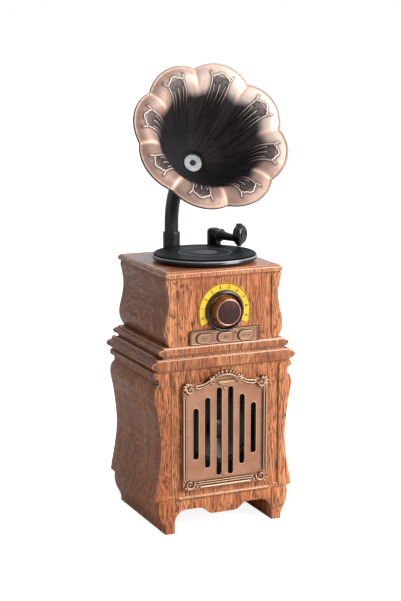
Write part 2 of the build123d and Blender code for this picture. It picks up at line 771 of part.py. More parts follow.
def spin(points, z):
    """Turn a closed outline of (radius, y) points about the Y axis at this height."""
    face = make_face(Polyline(*[(r, y, 0) for r, y in points], close=True))
    return Pos(0, 0, z) * revolve(face, Axis.Y)


# ---------------------------------------------------------------- mouldings and upper cabinet
def make_mouldings():
    """Cornice with its neck, and the plinth of the upper cabinet, each with a way for wires."""
    y0 = Y_FRONT - MOULDING_OVERHANG
    y1 = Y_BACK + 1.0
    way = block(-WIRE_WAY / 2, WIRE_WAY / 2, -WIRE_WAY / 2, WIRE_WAY / 2, Z_LOWER - 1, Z_PLINTH + 1)
    cornice = front_edges_broken(board(whole_section(cornice_runs()), y0, y1), EDGE_BREAK)
    neck = board(whole_section(neck_runs()), Y_FRONT - 0.2, Y_BACK)
    plinth = front_edges_broken(board(whole_section(plinth_runs()), y0, y1), EDGE_BREAK)
    save("cornice", cornice + neck - way)
    save("plinth", plinth - way)


def make_upper_cabinet():
    """The upper box: curved sides, front panel for the controls, back panel, and the deck."""
    side = board(half_section(upper_runs(), UPPER_INNER), Y_INSIDE_FRONT, Y_INSIDE_BACK)
    front = board(whole_section(upper_runs()), Y_FRONT, Y_INSIDE_FRONT)
    front -= rod_y(0, DIAL_Z, Y_FRONT - 1, Y_INSIDE_FRONT + 1, BUSHING_R + RUNNING)
    for x in button_places():
        front -= board(button_hole(x), Y_FRONT - 1, Y_INSIDE_FRONT + 1)
    led_z = Z_PLATE_BOTTOM + LED_LIFT
    front -= rod_y(LED_X, led_z, Y_FRONT - 1, Y_INSIDE_FRONT + 1, LED_R + RUNNING)
    for x in (-PLATE_HALF, PLATE_HALF):
        for z in (Z_BUTTON - 2.6, Z_BUTTON + 2.6):
            front += rod_y(x, z, Y_INSIDE_FRONT, y_switch_board(), 1.4)
    pilaster_in = UPPER_WAIST_HALF - 4.5
    line = block(pilaster_in - 1.6, pilaster_in, Y_FRONT - 1, Y_FRONT + 0.4, Z_PLINTH + 3, Z_UPPER - 1.5)
    front -= line + mirrored(line)
    pilaster = board(half_section(upper_runs(), pilaster_in), Y_FRONT - PILASTER_PROUD, Y_FRONT)
    keep_height = UPPER_HEIGHT - 1.8
    keep = Pos(pilaster_in + 10, Z_PLINTH + 0.6 + keep_height / 2) * RectangleRounded(20, keep_height, 2.4)
    pilaster &= board(keep, Y_FRONT - 5, Y_FRONT)
    back = board(whole_section(upper_runs()), Y_INSIDE_BACK, Y_BACK)
    sides = [side, mirrored(side)]
    for x, z in back_screw_places():
        hole = rod_y(x, z, Y_INSIDE_BACK - 7, Y_BACK + 1, SCREW_R)
        back -= hole
        sides = [one - hole for one in sides]
    y0 = Y_FRONT - MOULDING_OVERHANG
    deck = board(whole_section(deck_runs()), y0, Y_DECK_BACK)
    top_edges = deck.edges().filter_by(Axis.X).group_by(Axis.Z)[-1]
    deck = chamfer(top_edges, 1.3)
    deck -= rod(PLATTER_X, PLATTER_Y, Z_UPPER - 1, Z_DECK + 1, BUSH_R)
    deck -= rod(SOCKET_X, SOCKET_Y, Z_UPPER - 1, Z_DECK + 1, 2.5)
    deck -= rod(ARM_X, ARM_Y, Z_UPPER - 1, Z_DECK + 1, 2.0)
    save("upper_side_right", sides[0])
    save("upper_side_left", sides[1])
    save("upper_front_panel", front)
    save("upper_pilasters", Compound(children=[pilaster, mirrored(pilaster)]))
    save("upper_back_panel", back)
    save("deck", deck)


# ---------------------------------------------------------------- dial, knob and buttons
def button_places():
    """The three buttons' centres along X."""
    return [BUTTON_SHIFT + BUTTON_PITCH * step for step in (-1, 0, 1)]


def button_hole(x):
    """Opening for one button, with round ends."""
    return Pos(x, Z_BUTTON) * SlotOverall(BUTTON_LENGTH, BUTTON_HEIGHT)


def y_switch_board():
    """Front face of the board behind the buttons."""
    return Y_INSIDE_FRONT + 6.0


def make_dial():
    """Dial ring, knob bezel, the knob on its shaft, and the control that it turns."""
    ring = Circle(DIAL_OUTER_R) - Circle(DIAL_INNER_R)
    reach = 3 * DIAL_OUTER_R
    gap = 180 - DIAL_HALF_ANGLE
    x_cut = reach * math.sin(math.radians(gap))
    z_cut = -reach * math.cos(math.radians(gap))
    ring -= make_face(Polyline((0, 0), (-x_cut, z_cut), (x_cut, z_cut), close=True))
    dial = board(Pos(0, DIAL_Z) * ring, Y_FRONT - DIAL_THICKNESS, Y_FRONT)

    y_rim = Y_FRONT - BEZEL_HEIGHT
    bezel = rod_y(0, DIAL_Z, y_rim, Y_FRONT, BEZEL_R)
    bezel = fillet(bezel.edges().group_by(Axis.Y)[0], 0.9)
    bezel -= rod_y(0, DIAL_Z, y_rim - 1, Y_FRONT - BEZEL_FLOOR, BEZEL_R - BEZEL_WALL)
    bezel -= rod_y(0, DIAL_Z, y_rim, Y_FRONT + 1, BUSHING_R + RUNNING)

    y_face = Y_FRONT - KNOB_FACE
    y_cap = y_face + KNOB_CAP_THICKNESS
    y_skirt = Y_FRONT - BEZEL_FLOOR - 0.9
    skirt = spin([(0, y_cap), (KNOB_R, y_cap), (KNOB_SKIRT_R, y_skirt), (0, y_skirt)], DIAL_Z)
    skirt -= rod_y(0, DIAL_Z, y_cap - 1, y_skirt + 1, SHAFT_R)
    cap = rod_y(0, DIAL_Z, y_face, y_cap, KNOB_R)
    cap = chamfer(cap.edges().group_by(Axis.Y)[0], 0.5)
    cap -= rod_y(0, DIAL_Z, y_face - 1, y_face + 0.3, KNOB_R - 1.1)
    y_pot_back = Y_INSIDE_FRONT + POT_DEPTH
    shaft = rod_y(0, DIAL_Z, y_cap, y_pot_back - 1.5, SHAFT_R)
    reach = POT_SIZE / 2
    pot = block(-reach, reach, Y_INSIDE_FRONT, y_pot_back, DIAL_Z - reach, DIAL_Z + reach)
    pot += rod_y(0, DIAL_Z, Y_FRONT - BEZEL_FLOOR - 0.5, Y_INSIDE_FRONT, BUSHING_R)
    pot -= rod_y(0, DIAL_Z, Y_FRONT - 5, y_pot_back - 1.3, SHAFT_R + RUNNING)
    for x in (-3, 0, 3):
        pot += block(x - 0.4, x + 0.4, y_pot_back - 1, y_pot_back - 0.5, DIAL_Z - reach - 3, DIAL_Z - reach)
    save("dial_plate", dial)
    save("knob_bezel", bezel)
    save("knob_skirt", skirt)
    save("knob_cap", cap)
    save("knob_shaft", shaft)
    save("potentiometer", pot)


def make_buttons():
    """Button plate, three sprung buttons, the indicator, and the board with three switches."""
    z_top = Z_PLATE_BOTTOM + PLATE_HEIGHT
    outline = Rectangle(2 * PLATE_HALF, PLATE_HEIGHT)
    outline = fillet(outline.vertices().group_by(Axis.Y)[-1], 2.2)
    outline = Pos(0, (Z_PLATE_BOTTOM + z_top) / 2) * outline
    outline -= Pos(0, DIAL_Z) * Circle(BEZEL_R + 0.1)
    rim = offset(outline, amount=-1.0)
    plate = board(outline, Y_FRONT - PLATE_THICKNESS, Y_FRONT)
    plate -= board(rim, Y_PLATE - 1, Y_PLATE + 0.3)
    led_z = Z_PLATE_BOTTOM + LED_LIFT
    plate -= rod_y(LED_X, led_z, Y_PLATE - 1, Y_FRONT + 1, LED_R + RUNNING)
    y_behind = Y_INSIDE_FRONT + 0.15
    y_board = y_switch_board()
    y_switch = y_board - 2.6
    y_plunger = y_switch - 0.5
    names = ("button_left", "button_middle", "button_right")
    switches = []
    for name, x in zip(names, button_places()):
        plate -= board(button_hole(x), Y_PLATE - 1, Y_FRONT + 1)
        length = BUTTON_LENGTH - 2 * BUTTON_GAP
        height = BUTTON_HEIGHT - 2 * BUTTON_GAP
        face = Pos(x, Z_BUTTON) * SlotOverall(length, height)
        button = board(face, Y_PLATE - BUTTON_PROUD, y_behind)
        button = fillet(button.edges().group_by(Axis.Y)[0], 0.4)
        button += board(Pos(x, Z_BUTTON) * SlotOverall(length + 1.3, height + 1.3), y_behind, y_behind + 0.9)
        button += rod_y(x, Z_BUTTON, y_behind, y_plunger - BUTTON_TRAVEL - 0.1, 1.2)
        save(name, button)
        switch = block(x - 3, x + 3, y_switch, y_board, Z_BUTTON - 3, Z_BUTTON + 3)
        switch += rod_y(x, Z_BUTTON, y_plunger, y_switch, 1.5)
        switches.append(switch)
    lens = rod_y(LED_X, led_z, Y_PLATE - 0.1, y_board, LED_R)
    reach = PLATE_HALF + 2.4
    circuit = block(-reach, reach, y_board, y_board + 1.2, Z_BUTTON - 4.2, Z_BUTTON + 4.4)
    save("button_plate", plate)
    save("led_lens", lens)
    save("tact_switches", Compound(children=switches))
    save("switch_board", circuit)


# ---------------------------------------------------------------- platter
def make_platter():
    """Platter and record on an axle that runs in a flanged bush in the deck."""
    z0 = Z_DECK + PLATTER_GAP
    z1 = z0 + PLATTER_THICKNESS
    z_flange = Z_DECK + 0.6
    platter = rod(PLATTER_X, PLATTER_Y, z0, z1, PLATTER_R)
    platter = fillet(platter.edges(), 0.9)
    platter += rod(PLATTER_X, PLATTER_Y, z_flange + 0.2, z0 + 0.1, BUSH_FLANGE_R + 1)
    platter -= rod(PLATTER_X, PLATTER_Y, Z_DECK, z1 + 1, AXLE_R)
    record = rod(PLATTER_X, PLATTER_Y, z1, z1 + RECORD_THICKNESS, RECORD_R)
    record = fillet(record.edges().group_by(Axis.Z)[-1], 0.5)
    z_low = Z_UPPER - 3.6
    clip_low = Z_UPPER - 2.2
    axle = rod(PLATTER_X, PLATTER_Y, z_low, z1, AXLE_R)
    axle -= rod(PLATTER_X, PLATTER_Y, clip_low, clip_low + 0.7, AXLE_R + 1) - rod(
        PLATTER_X, PLATTER_Y, clip_low, clip_low + 0.7, AXLE_R - 0.4
    )
    clip = rod(PLATTER_X, PLATTER_Y, clip_low, clip_low + 0.7, 3.0)
    clip -= rod(PLATTER_X, PLATTER_Y, clip_low - 1, clip_low + 2, AXLE_R - 0.4)
    slot = AXLE_R - 0.4
    clip -= block(
        PLATTER_X,
        PLATTER_X + 5,
        PLATTER_Y - slot,
        PLATTER_Y + slot,
        clip_low - 1,
        clip_low + 2,
    )
    bush = rod(PLATTER_X, PLATTER_Y, clip_low + 1.1, Z_DECK, BUSH_R)
    bush += rod(PLATTER_X, PLATTER_Y, Z_DECK, z_flange, BUSH_FLANGE_R)
    bush -= rod(PLATTER_X, PLATTER_Y, clip_low, z_flange + 1, AXLE_R + RUNNING)
    save("platter", platter)
    save("record_disc", record)
    save("platter_axle", axle)
    save("axle_clip", clip)
    save("axle_bush", bush)


# ---------------------------------------------------------------- horn
def horn_forward():
    """Level unit vector that the horn points along."""
    turn = math.radians(HORN_TURN)
    return (-math.sin(turn), -math.cos(turn))


def horn_point(forward, z):
    """A point in the horn's upright middle plane, this far in front of the socket's axis."""
    fx, fy = horn_forward()
    return (SOCKET_X + fx * forward, SOCKET_Y + fy * forward, z)


def neck_arc(turned):
    """Forward distance and height along the neck's bend, for an angle turned in degrees."""
    angle = math.radians(turned)
    forward = NECK_BEND_R * (1 - math.cos(angle))
    return forward, Z_DECK + NECK_RISE + NECK_BEND_R * math.sin(angle)


def horn_axis_point(along):
    """A point on the horn's axis, this far past the end of the bend."""
    tilt = math.radians(HORN_TILT)
    forward, z = neck_arc(90 - HORN_TILT)
    return horn_point(forward + along * math.cos(tilt), z + along * math.sin(tilt))


def throat_plane():
    """Plane on the throat's floor, facing out of the mouth, with X level."""
    tilt = math.radians(HORN_TILT)
    fx, fy = horn_forward()
    out = (fx * math.cos(tilt), fy * math.cos(tilt), math.sin(tilt))
    return Plane(origin=horn_axis_point(NECK_RUN + THROAT_FLOOR), x_dir=(-fy, fx, 0), z_dir=out)


def bell_inside():
    """Inside of the bell as (radius, height above the throat's floor), from throat to rim."""
    depth = BELL_DEPTH
    core = BELL_CORE_R
    rim = BELL_LOBE_R + 0.6
    return [
        (THROAT_R + 1.2, 2.8),
        (0.53 * core, 0.25 * depth),
        (0.71 * core, 0.42 * depth),
        (0.84 * core, 0.59 * depth),
        (0.935 * core, 0.74 * depth),
        (core, 0.84 * depth),
        (core + 2.4, 0.92 * depth),
        (core + 5.4, 0.972 * depth),
        (core + 9.4, depth),
        (core + 13.4, 1.006 * depth),
        (rim, 0.975 * depth),
    ]


def set_back(points, wall):
    """The same line moved square to itself by the wall's thickness, away from the inside."""
    moved = []
    last = len(points) - 1
    for i, (r, z) in enumerate(points):
        r0, z0 = points[max(i - 1, 0)]
        r1, z1 = points[min(i + 1, last)]
        run = math.hypot(r1 - r0, z1 - z0)
        moved.append((r + wall * (z1 - z0) / run, z - wall * (r1 - r0) / run))
    return moved


def make_horn():
    """Socket on the deck, the bent neck that turns in it, and the lobed bell with its screw."""
    z_bore = Z_DECK + 2.0
    z_socket = Z_DECK + SOCKET_HEIGHT
    socket = rod(SOCKET_X, SOCKET_Y, Z_DECK, z_socket, SOCKET_R)
    socket = fillet(socket.edges().group_by(Axis.Z)[-1], 0.6)
    socket += rod(SOCKET_X, SOCKET_Y, Z_UPPER, Z_DECK, 2.5)
    socket -= rod(SOCKET_X, SOCKET_Y, z_bore, z_socket + 1, NECK_R + RUNNING)

    start = horn_point(0, z_bore + 0.3)
    bend_start = horn_point(0, Z_DECK + NECK_RISE)
    turned = 90 - HORN_TILT
    bend_middle = horn_point(*neck_arc(turned / 2))
    bend_end = horn_point(*neck_arc(turned))
    end = horn_axis_point(NECK_RUN)
    path = Wire([
        Edge.make_line(start, bend_start),
        Edge.make_three_point_arc(bend_start, bend_middle, bend_end),
        Edge.make_line(bend_end, end),
    ])
    ring = Plane(origin=start, z_dir=(0, 0, 1)) * (Circle(NECK_R) - Circle(NECK_R - NECK_WALL))
    neck = sweep(ring, path=path)
    throat = throat_plane()
    plug_length = 8.0
    bore = NECK_R - NECK_WALL
    neck += throat * Pos(0, 0, -THROAT_FLOOR - plug_length / 2) * Cylinder(bore, plug_length)
    screw_hole = throat * Cylinder(SCREW_R, 40)
    neck -= screw_hole

    inside = bell_inside()
    outside = set_back(inside, BELL_WALL)
    first = (THROAT_R, 0)
    sleeve_out = NECK_R + SLEEVE_WALL + 0.05
    tail = -THROAT_FLOOR - SLEEVE_LENGTH
    outline = [
        Spline(*[(r, 0, z) for r, z in inside]),
        Line((inside[-1][0], 0, inside[-1][1]), (outside[-1][0], 0, outside[-1][1])),
        Spline(*[(r, 0, z) for r, z in reversed(outside)]),
        Polyline(
            (outside[0][0], 0, outside[0][1]),
            (sleeve_out + 1.2, 0, -THROAT_FLOOR),
            (sleeve_out, 0, tail),
            (NECK_R + 0.05, 0, tail),
            (NECK_R + 0.05, 0, -THROAT_FLOOR),
            (SCREW_R, 0, -THROAT_FLOOR),
            (SCREW_R, 0, 0),
            (first[0], 0, 0),
            (inside[0][0] - 1.0, 0, inside[0][1] - 1.0),
            (inside[0][0], 0, inside[0][1]),
        ),
    ]
    bell = revolve(make_face(outline), Axis.Z)
    step = 360 / BELL_LOBES
    lobes = []
    for lobe in range(BELL_LOBES):
        a0 = math.radians(BELL_PHASE + step * lobe)
        a1 = math.radians(BELL_PHASE + step * (lobe + 0.5))
        a2 = math.radians(BELL_PHASE + step * (lobe + 1))
        lobes.append(
            ThreePointArc(
                (BELL_NOTCH_R * math.cos(a0), BELL_NOTCH_R * math.sin(a0)),
                (BELL_LOBE_R * math.cos(a1), BELL_LOBE_R * math.sin(a1)),
                (BELL_NOTCH_R * math.cos(a2), BELL_NOTCH_R * math.sin(a2)),
            )
        )
    prism = Pos(0, 0, -20) * extrude(make_face(lobes), amount=BELL_DEPTH + 40)
    bell = throat * (bell & prism)

    washer = Cylinder(WASHER_R, WASHER_THICKNESS) - Cylinder(SCREW_R, 4)
    washer = throat * Pos(0, 0, WASHER_THICKNESS / 2) * washer
    head = Pos(0, 0, WASHER_THICKNESS + 0.5) * Cylinder(1.8, 1.0)
    head = fillet(head.edges().group_by(Axis.Z)[-1], 0.45)
    head -= Pos(0, 0, WASHER_THICKNESS + 1.0) * (Box(2.0, 0.4, 0.9) + Box(0.4, 2.0, 0.9))
    shank_length = WASHER_THICKNESS + THROAT_FLOOR + 5
    shank = Pos(0, 0, WASHER_THICKNESS - shank_length / 2) * Cylinder(SCREW_R, shank_length)
    save("horn_socket", socket)
    save("horn_neck", neck)
    save("horn_bell", bell)
    save("horn_washer", washer)
    save("horn_screw", throat * (head + shank))


# ---------------------------------------------------------------- tonearm
def make_tonearm():
    """Base with a pivot pin, the post that turns on it, the tapered tube and the soundbox."""
    z_base = Z_DECK + ARM_BASE_HEIGHT
    z_post = z_base + 0.2
    z_top = z_post + ARM_POST_HEIGHT
    z_pin = z_top - 3.0
    base = rod(ARM_X, ARM_Y, Z_DECK, z_base, ARM_BASE_R)
    base = fillet(base.edges().group_by(Axis.Z)[-1], 0.5)
    base += rod(ARM_X, ARM_Y, Z_UPPER - 1.5, Z_DECK, 2.0)
    base += rod(ARM_X, ARM_Y, z_base - 0.5, z_pin, ARM_PIN_R)
    post = rod(ARM_X, ARM_Y, z_post, z_top, ARM_POST_R)
    post = fillet(post.edges().group_by(Axis.Z)[-1], 1.8)
    post_solid = post
    post -= rod(ARM_X, ARM_Y, z_post - 1, z_pin + 0.2, ARM_PIN_R + RUNNING)

    heading = math.radians(ARM_HEADING)
    slope = math.radians(ARM_SLOPE)
    along = (
        math.sin(heading) * math.cos(slope),
        -math.cos(heading) * math.cos(slope),
        math.sin(slope),
    )
    root = (ARM_X, ARM_Y, z_top - ARM_TUBE_DROP)
    line = Plane(origin=root, z_dir=along)
    tip = Vector(*root) + Vector(*along) * ARM_LENGTH
    face_turn = math.radians(SOUNDBOX_TURN)
    face_dir = (math.sin(face_turn), -math.cos(face_turn), 0)
    box_plane = Plane(origin=tip, x_dir=(math.cos(face_turn), math.sin(face_turn), 0), z_dir=face_dir)

    half_t = SOUNDBOX_THICKNESS / 2
    soundbox = Cylinder(SOUNDBOX_R, SOUNDBOX_THICKNESS * 0.5)
    soundbox += Pos(0, 0, -half_t + 0.55) * Cylinder(SOUNDBOX_R - 1.0, 1.1)
    soundbox += Pos(0, 0, half_t - 0.55) * Cylinder(SOUNDBOX_R - 0.6, 1.1)
    soundbox -= Pos(0, 0, half_t) * Cylinder(SOUNDBOX_R - 1.9, 1.4)
    soundbox = box_plane * soundbox
    z_low = tip.Z - SOUNDBOX_R
    chuck = rod(tip.X, tip.Y, z_low - 0.7, z_low + 1.6, 1.9)
    cap = rod(tip.X, tip.Y, tip.Z + SOUNDBOX_R - 0.6, tip.Z + SOUNDBOX_R + 0.9, 1.9)
    soundbox += chuck + cap

    tube = line * Pos(0, 0, ARM_LENGTH / 2) * Cone(ARM_TUBE_R, ARM_TIP_R, ARM_LENGTH)
    tube += line * Pos(0, 0, ARM_POST_R + 1.1) * Cylinder(ARM_RING_R, 2.2)
    tube -= post_solid
    tube -= rod(ARM_X, ARM_Y, z_post, z_top, ARM_POST_R)
    cutter = box_plane * Pos(0, 0, 10 - half_t + 0.4) * Cylinder(SOUNDBOX_R - 1.0, 20)
    tube -= cutter
    tube -= soundbox
    save("tonearm_base", base)
    save("tonearm_post", post)
    save("tonearm_tube", tube)
    save("soundbox", soundbox)


make_base()
make_lower_cabinet()
make_back_screws()
make_electrics()
make_grille()
make_driver()
make_mouldings()
make_upper_cabinet()
make_dial()
make_buttons()
make_platter()
make_horn()
make_tonearm()
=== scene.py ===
import bmesh
import bpy
import numpy as np
from bpy.props import FloatProperty, FloatVectorProperty, IntProperty, PointerProperty
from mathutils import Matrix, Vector


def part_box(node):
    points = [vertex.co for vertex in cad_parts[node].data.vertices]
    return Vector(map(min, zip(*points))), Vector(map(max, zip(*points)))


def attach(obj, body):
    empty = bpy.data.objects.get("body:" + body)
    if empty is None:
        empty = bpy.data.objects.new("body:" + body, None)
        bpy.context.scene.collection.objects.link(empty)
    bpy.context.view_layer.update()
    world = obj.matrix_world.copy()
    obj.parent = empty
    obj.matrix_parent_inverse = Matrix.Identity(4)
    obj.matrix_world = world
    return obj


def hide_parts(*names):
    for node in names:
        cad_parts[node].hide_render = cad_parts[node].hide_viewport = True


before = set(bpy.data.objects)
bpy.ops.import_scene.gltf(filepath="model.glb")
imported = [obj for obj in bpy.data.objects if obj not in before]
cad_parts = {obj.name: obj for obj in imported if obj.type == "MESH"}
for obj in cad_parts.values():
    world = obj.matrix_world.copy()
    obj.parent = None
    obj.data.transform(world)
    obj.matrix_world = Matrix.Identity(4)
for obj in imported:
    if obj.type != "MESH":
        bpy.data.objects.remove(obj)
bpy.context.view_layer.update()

bl_info = {
    "name": "Horn Loudspeaker",
    "version": (1, 0, 0),
    "blender": (4, 5, 0),
    "location": "View3D > Sidebar > Loudspeaker",
    "description": "Dresses the packed horn loudspeaker with its boards, castings, horn and finishes",
    "category": "Add Mesh",
}

MM = 0.001
FRONT = (0.0, -1.0, 0.0)
UP = (0, 0, 1)

# ---------------------------------------------------------------- sizes read off the frame


def low(node):
    """Lowest corner of a CAD node, in mm."""
    return np.array(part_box(node)[0]) / MM


def high(node):
    """Highest corner of a CAD node, in mm."""
    return np.array(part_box(node)[1]) / MM


def middle(node):
    """Middle of a CAD node's box, in mm."""
    return (low(node) + high(node)) / 2


DIAL_CENTRE = np.array([0.0, 142.3])
DIAL_SWEEP = 112.0
NUMERAL_SWEEP = 104
NUMERAL_R = 15.15
PLAQUE_Y = low("grille_plaque")[1]
FRAME_Y = low("grille_frame")[1]
PLAQUE_BOTTOM = low("grille_plaque")[2]
PLAQUE_HALF = high("grille_plaque")[0]
SHOULDER_Z = PLAQUE_BOTTOM + 69.5
RECORD_CENTRE = middle("record_disc")
RECORD_TOP = high("record_disc")[2]

# The bell stands on its throat floor, and looks along its own axis.
BELL_FLOOR = np.array([-9.13, -10.55, 232.88])
BELL_AXIS = np.array([-0.0883, -0.8693, 0.4863])
BELL_ACROSS = np.array([0.995, -0.101, 0.0])
BELL_SIDE = np.cross(BELL_AXIS, BELL_ACROSS)
BELL_LOBES = 8
BELL_STEP = 2 * np.pi / BELL_LOBES
BELL_PHASE = np.radians(94.0)
# Directions across the bell for painted light: BELL_PAINTED_LIGHT_SIDE is paled as a painted highlight, BELL_SHEEN
# takes a painted reflection in the throat, and BELL_SHADED_SIDE is darkened with painted shade.
BELL_PAINTED_LIGHT_SIDE = (0.75, 0.20, 0.62)
BELL_SHEEN = (0.85, 0.10, 0.50)
BELL_SHADED_SIDE = (0.98, 0.0, -0.15)
LOBE_ARC_CENTRE = 24.35
LOBE_ARC_R = 24.45
THROAT_R = 7.4
LIP_R = 48.2
BELL_CURVE = [
    (7.4, 2.8), (16.4, 10.35), (22.0, 17.4), (26.0, 24.4), (29.0, 30.6), (31.0, 34.8),
    (33.4, 38.1), (36.4, 40.2), (40.4, 41.4), (44.4, 41.65), (48.2, 40.9),
]


# ---------------------------------------------------------------- shapes worked out as whole arrays


def quads(rows, cols, wrap_rows=False, wrap_cols=False):
    """Four-cornered faces that join each point of a rows by cols grid to its neighbours."""
    r = np.arange(rows if wrap_rows else rows - 1)[:, None]
    c = np.arange(cols if wrap_cols else cols - 1)[None, :]
    up, along = (r + 1) % rows, (c + 1) % cols
    corners = (r * cols + c, r * cols + along, up * cols + along, up * cols + c)
    return np.stack(np.broadcast_arrays(*corners), -1).reshape(-1, 4)


def shape(points, faces, **marks):
    """Points in mm, faces, and one number for each point under each mark's name."""
    points = np.asarray(points, float).reshape(-1, 3)
    filled = {}
    for name, values in marks.items():
        filled[name] = np.broadcast_to(np.asarray(values, float).reshape(-1), (len(points),)).copy()
    return {"points": points, "faces": np.asarray(faces, int), "marks": filled}


def joined(shapes):
    """One shape from several: points and marks stacked, faces renumbered by the points before them."""
    points = np.concatenate([s["points"] for s in shapes])
    starts = np.cumsum([0] + [len(s["points"]) for s in shapes[:-1]])
    faces = np.concatenate([s["faces"] + start for s, start in zip(shapes, starts)])
    names = sorted({name for s in shapes for name in s["marks"]})
    marks = {
        name: np.concatenate([s["marks"].get(name, np.zeros(len(s["points"]))) for s in shapes])
        for name in names
    }
    return {"points": points, "faces": faces, "marks": marks}


def smooth_through(points, steps=12):
    """A smooth line through the points: between each two, the cubic whose slopes are half the gap
    between the points on either side."""
    p = np.asarray(points, float)
    ends = np.concatenate([[2 * p[0] - p[1]], p, [2 * p[-1] - p[-2]]])
    t = np.linspace(0, 1, steps, endpoint=False)[None, :, None]
    a, b, c, d = ends[:-3, None], ends[1:-2, None], ends[2:-1, None], ends[3:, None]
    curve = 0.5 * (2 * b + (c - a) * t + (2 * a - 5 * b + 4 * c - d) * t**2 + (3 * b - a - 3 * c + d) * t**3)
    return np.concatenate([curve.reshape(-1, p.shape[1]), p[-1:]])


def ease(value, start, end):
    """0 before start, 1 after end, and 3t^2 - 2t^3 between them."""
    t = np.clip((np.asarray(value, float) - start) / (end - start), 0, 1)
    return t * t * (3 - 2 * t)


def unit(vectors):
    """The vectors at length one."""
    length = np.linalg.norm(vectors, axis=-1, keepdims=True)
    return vectors / np.maximum(length, 1e-12)


def turned(profile, centre, axis=(0, 0, 1), across=(1, 0, 0), steps=96, loop=False, **marks):
    """A turned shape: each profile point (radius, height) goes round the axis through the centre.
    Point = centre + radius (cos a across + sin a side) + height axis. A loop profile closes on
    itself, and any other one starts and ends on the axis, where its points are one."""
    profile = np.asarray(profile, float)
    axis, across = np.asarray(axis, float), np.asarray(across, float)
    side = np.cross(axis, across)
    angle = np.linspace(0, 2 * np.pi, steps, endpoint=False)
    ring = np.cos(angle)[:, None] * across + np.sin(angle)[:, None] * side
    points = (
        np.asarray(centre, float)
        + profile[None, :, :1] * ring[:, None, :]
        + profile[None, :, 1:] * axis[None, None, :]
    )
    spread = {name: np.tile(np.broadcast_to(v, len(profile)), steps) for name, v in marks.items()}
    return shape(points, quads(steps, len(profile), True, loop), **spread)


SHADOW_OUTLINE_LIFT = 0.05
HALF_ROUND = np.stack([np.cos(np.linspace(0, np.pi, 7)), np.sin(np.linspace(0, np.pi, 7))], -1)


def bead(path, up, width, height, sink=0.3, closed=False, relief=1.0, section=HALF_ROUND, outline=0.0):
    """A raised bead along a path. At each point the section (across, above) is spread by half the
    width to the sides and by the height above the face, and its foot is sunk below the face.
    Side = up x the path's direction. An open bead's width and height fall to nothing at both ends.
    An outline adds a thin low edge of that many mm down each side, marked -1 so that it is painted
    dark as a painted shadow round the bead."""
    path = np.asarray(path, float)
    count = len(path)
    up = unit(np.broadcast_to(np.asarray(up, float), path.shape))
    if closed:
        along = np.roll(path, -1, 0) - np.roll(path, 1, 0)
        taper = np.ones(count)
    else:
        along = np.gradient(path, axis=0)
        taper = np.minimum(np.arange(count), np.arange(count)[::-1])
        taper = np.sqrt(np.clip(taper / 3.0, 0, 1))
    side = unit(np.cross(up, along))
    n = len(section)
    ring = np.concatenate([section, [[-1.0, 0.0], [1.0, 0.0]]])
    glow = np.r_[section[:, 1] * relief, 0.0, 0.0]
    spread, lift = np.zeros(n + 2), np.r_[np.zeros(n), -sink, -sink]
    # The outline is painted shadow: a thin dark strip, marked -1, on each side of the bead.
    if outline:
        ring = np.concatenate([[[1.0, 0.0]], section, [[-1.0, 0.0], [-1.0, 0.0], [1.0, 0.0]]])
        glow = np.r_[-1.0, section[:, 1] * relief, -1.0, -1.0, -1.0]
        spread = np.r_[1.0, np.zeros(n), -1.0, -1.0, 1.0]
        lift = np.r_[SHADOW_OUTLINE_LIFT, SHADOW_OUTLINE_LIFT, np.zeros(n - 2), SHADOW_OUTLINE_LIFT, SHADOW_OUTLINE_LIFT, -sink, -sink]
    half = np.broadcast_to(width, count)[:, None] / 2 * ring[None, :, 0] + outline * spread[None, :]
    tall = np.broadcast_to(height, count)[:, None] * ring[None, :, 1] + lift[None, :]
    reach = (half * taper[:, None])[..., None] * side[:, None, :]
    rise = (tall * taper[:, None])[..., None] * up[:, None, :]
    points = path[:, None, :] + reach + rise
    return shape(points, quads(count, len(ring), closed, True), relief=np.tile(glow, count))


def flat_bead(line, y, width, height, **rest):
    """A bead on an upright face that looks forward, along a line given as (x, z)."""
    line = np.asarray(line, float)
    path = np.stack([line[:, 0], np.full(len(line), y), line[:, 1]], -1)
    return bead(path, FRONT, width, height, **rest)


def spiral(cx, cz, r_start, r_end, a_start, turns, steps=40):
    """A spiral line: the radius runs evenly from start to end while the angle goes round."""
    t = np.linspace(0, 1, steps)
    angle = np.radians(a_start) + 2 * np.pi * turns * t
    radius = r_start + (r_end - r_start) * t
    return np.stack([cx + radius * np.cos(angle), cz + radius * np.sin(angle)], -1)


def rounded_box_line(cx, cz, half_x, half_z, r, steps=8):
    """A closed line round a rectangle with round corners, as (x, z)."""
    line = []
    for sx, sz, start in ((1, 1, 0), (-1, 1, 90), (-1, -1, 180), (1, -1, 270)):
        a = np.radians(start + np.linspace(0, 90, steps))
        corner = (cx + sx * (half_x - r), cz + sz * (half_z - r))
        line.append(np.stack([corner[0] + r * np.cos(a), corner[1] + r * np.sin(a)], -1))
    return np.concatenate(line)


def dome(cx, y, cz, radius, height, relief=1.0, steps=20):
    """A low round boss on a face that looks forward: height = full height x cos of the way out."""
    t = np.linspace(0, np.pi / 2, 6)
    profile = np.stack([radius * np.sin(t), height * np.cos(t)], -1)
    profile = np.concatenate([profile, [(radius, -0.3), (0, -0.3)]])
    glow = np.r_[np.cos(t) * relief, 0, 0]
    return turned(profile, (cx, y, cz), FRONT, (1, 0, 0), steps, relief=glow)


# ---------------------------------------------------------------- meshes and objects


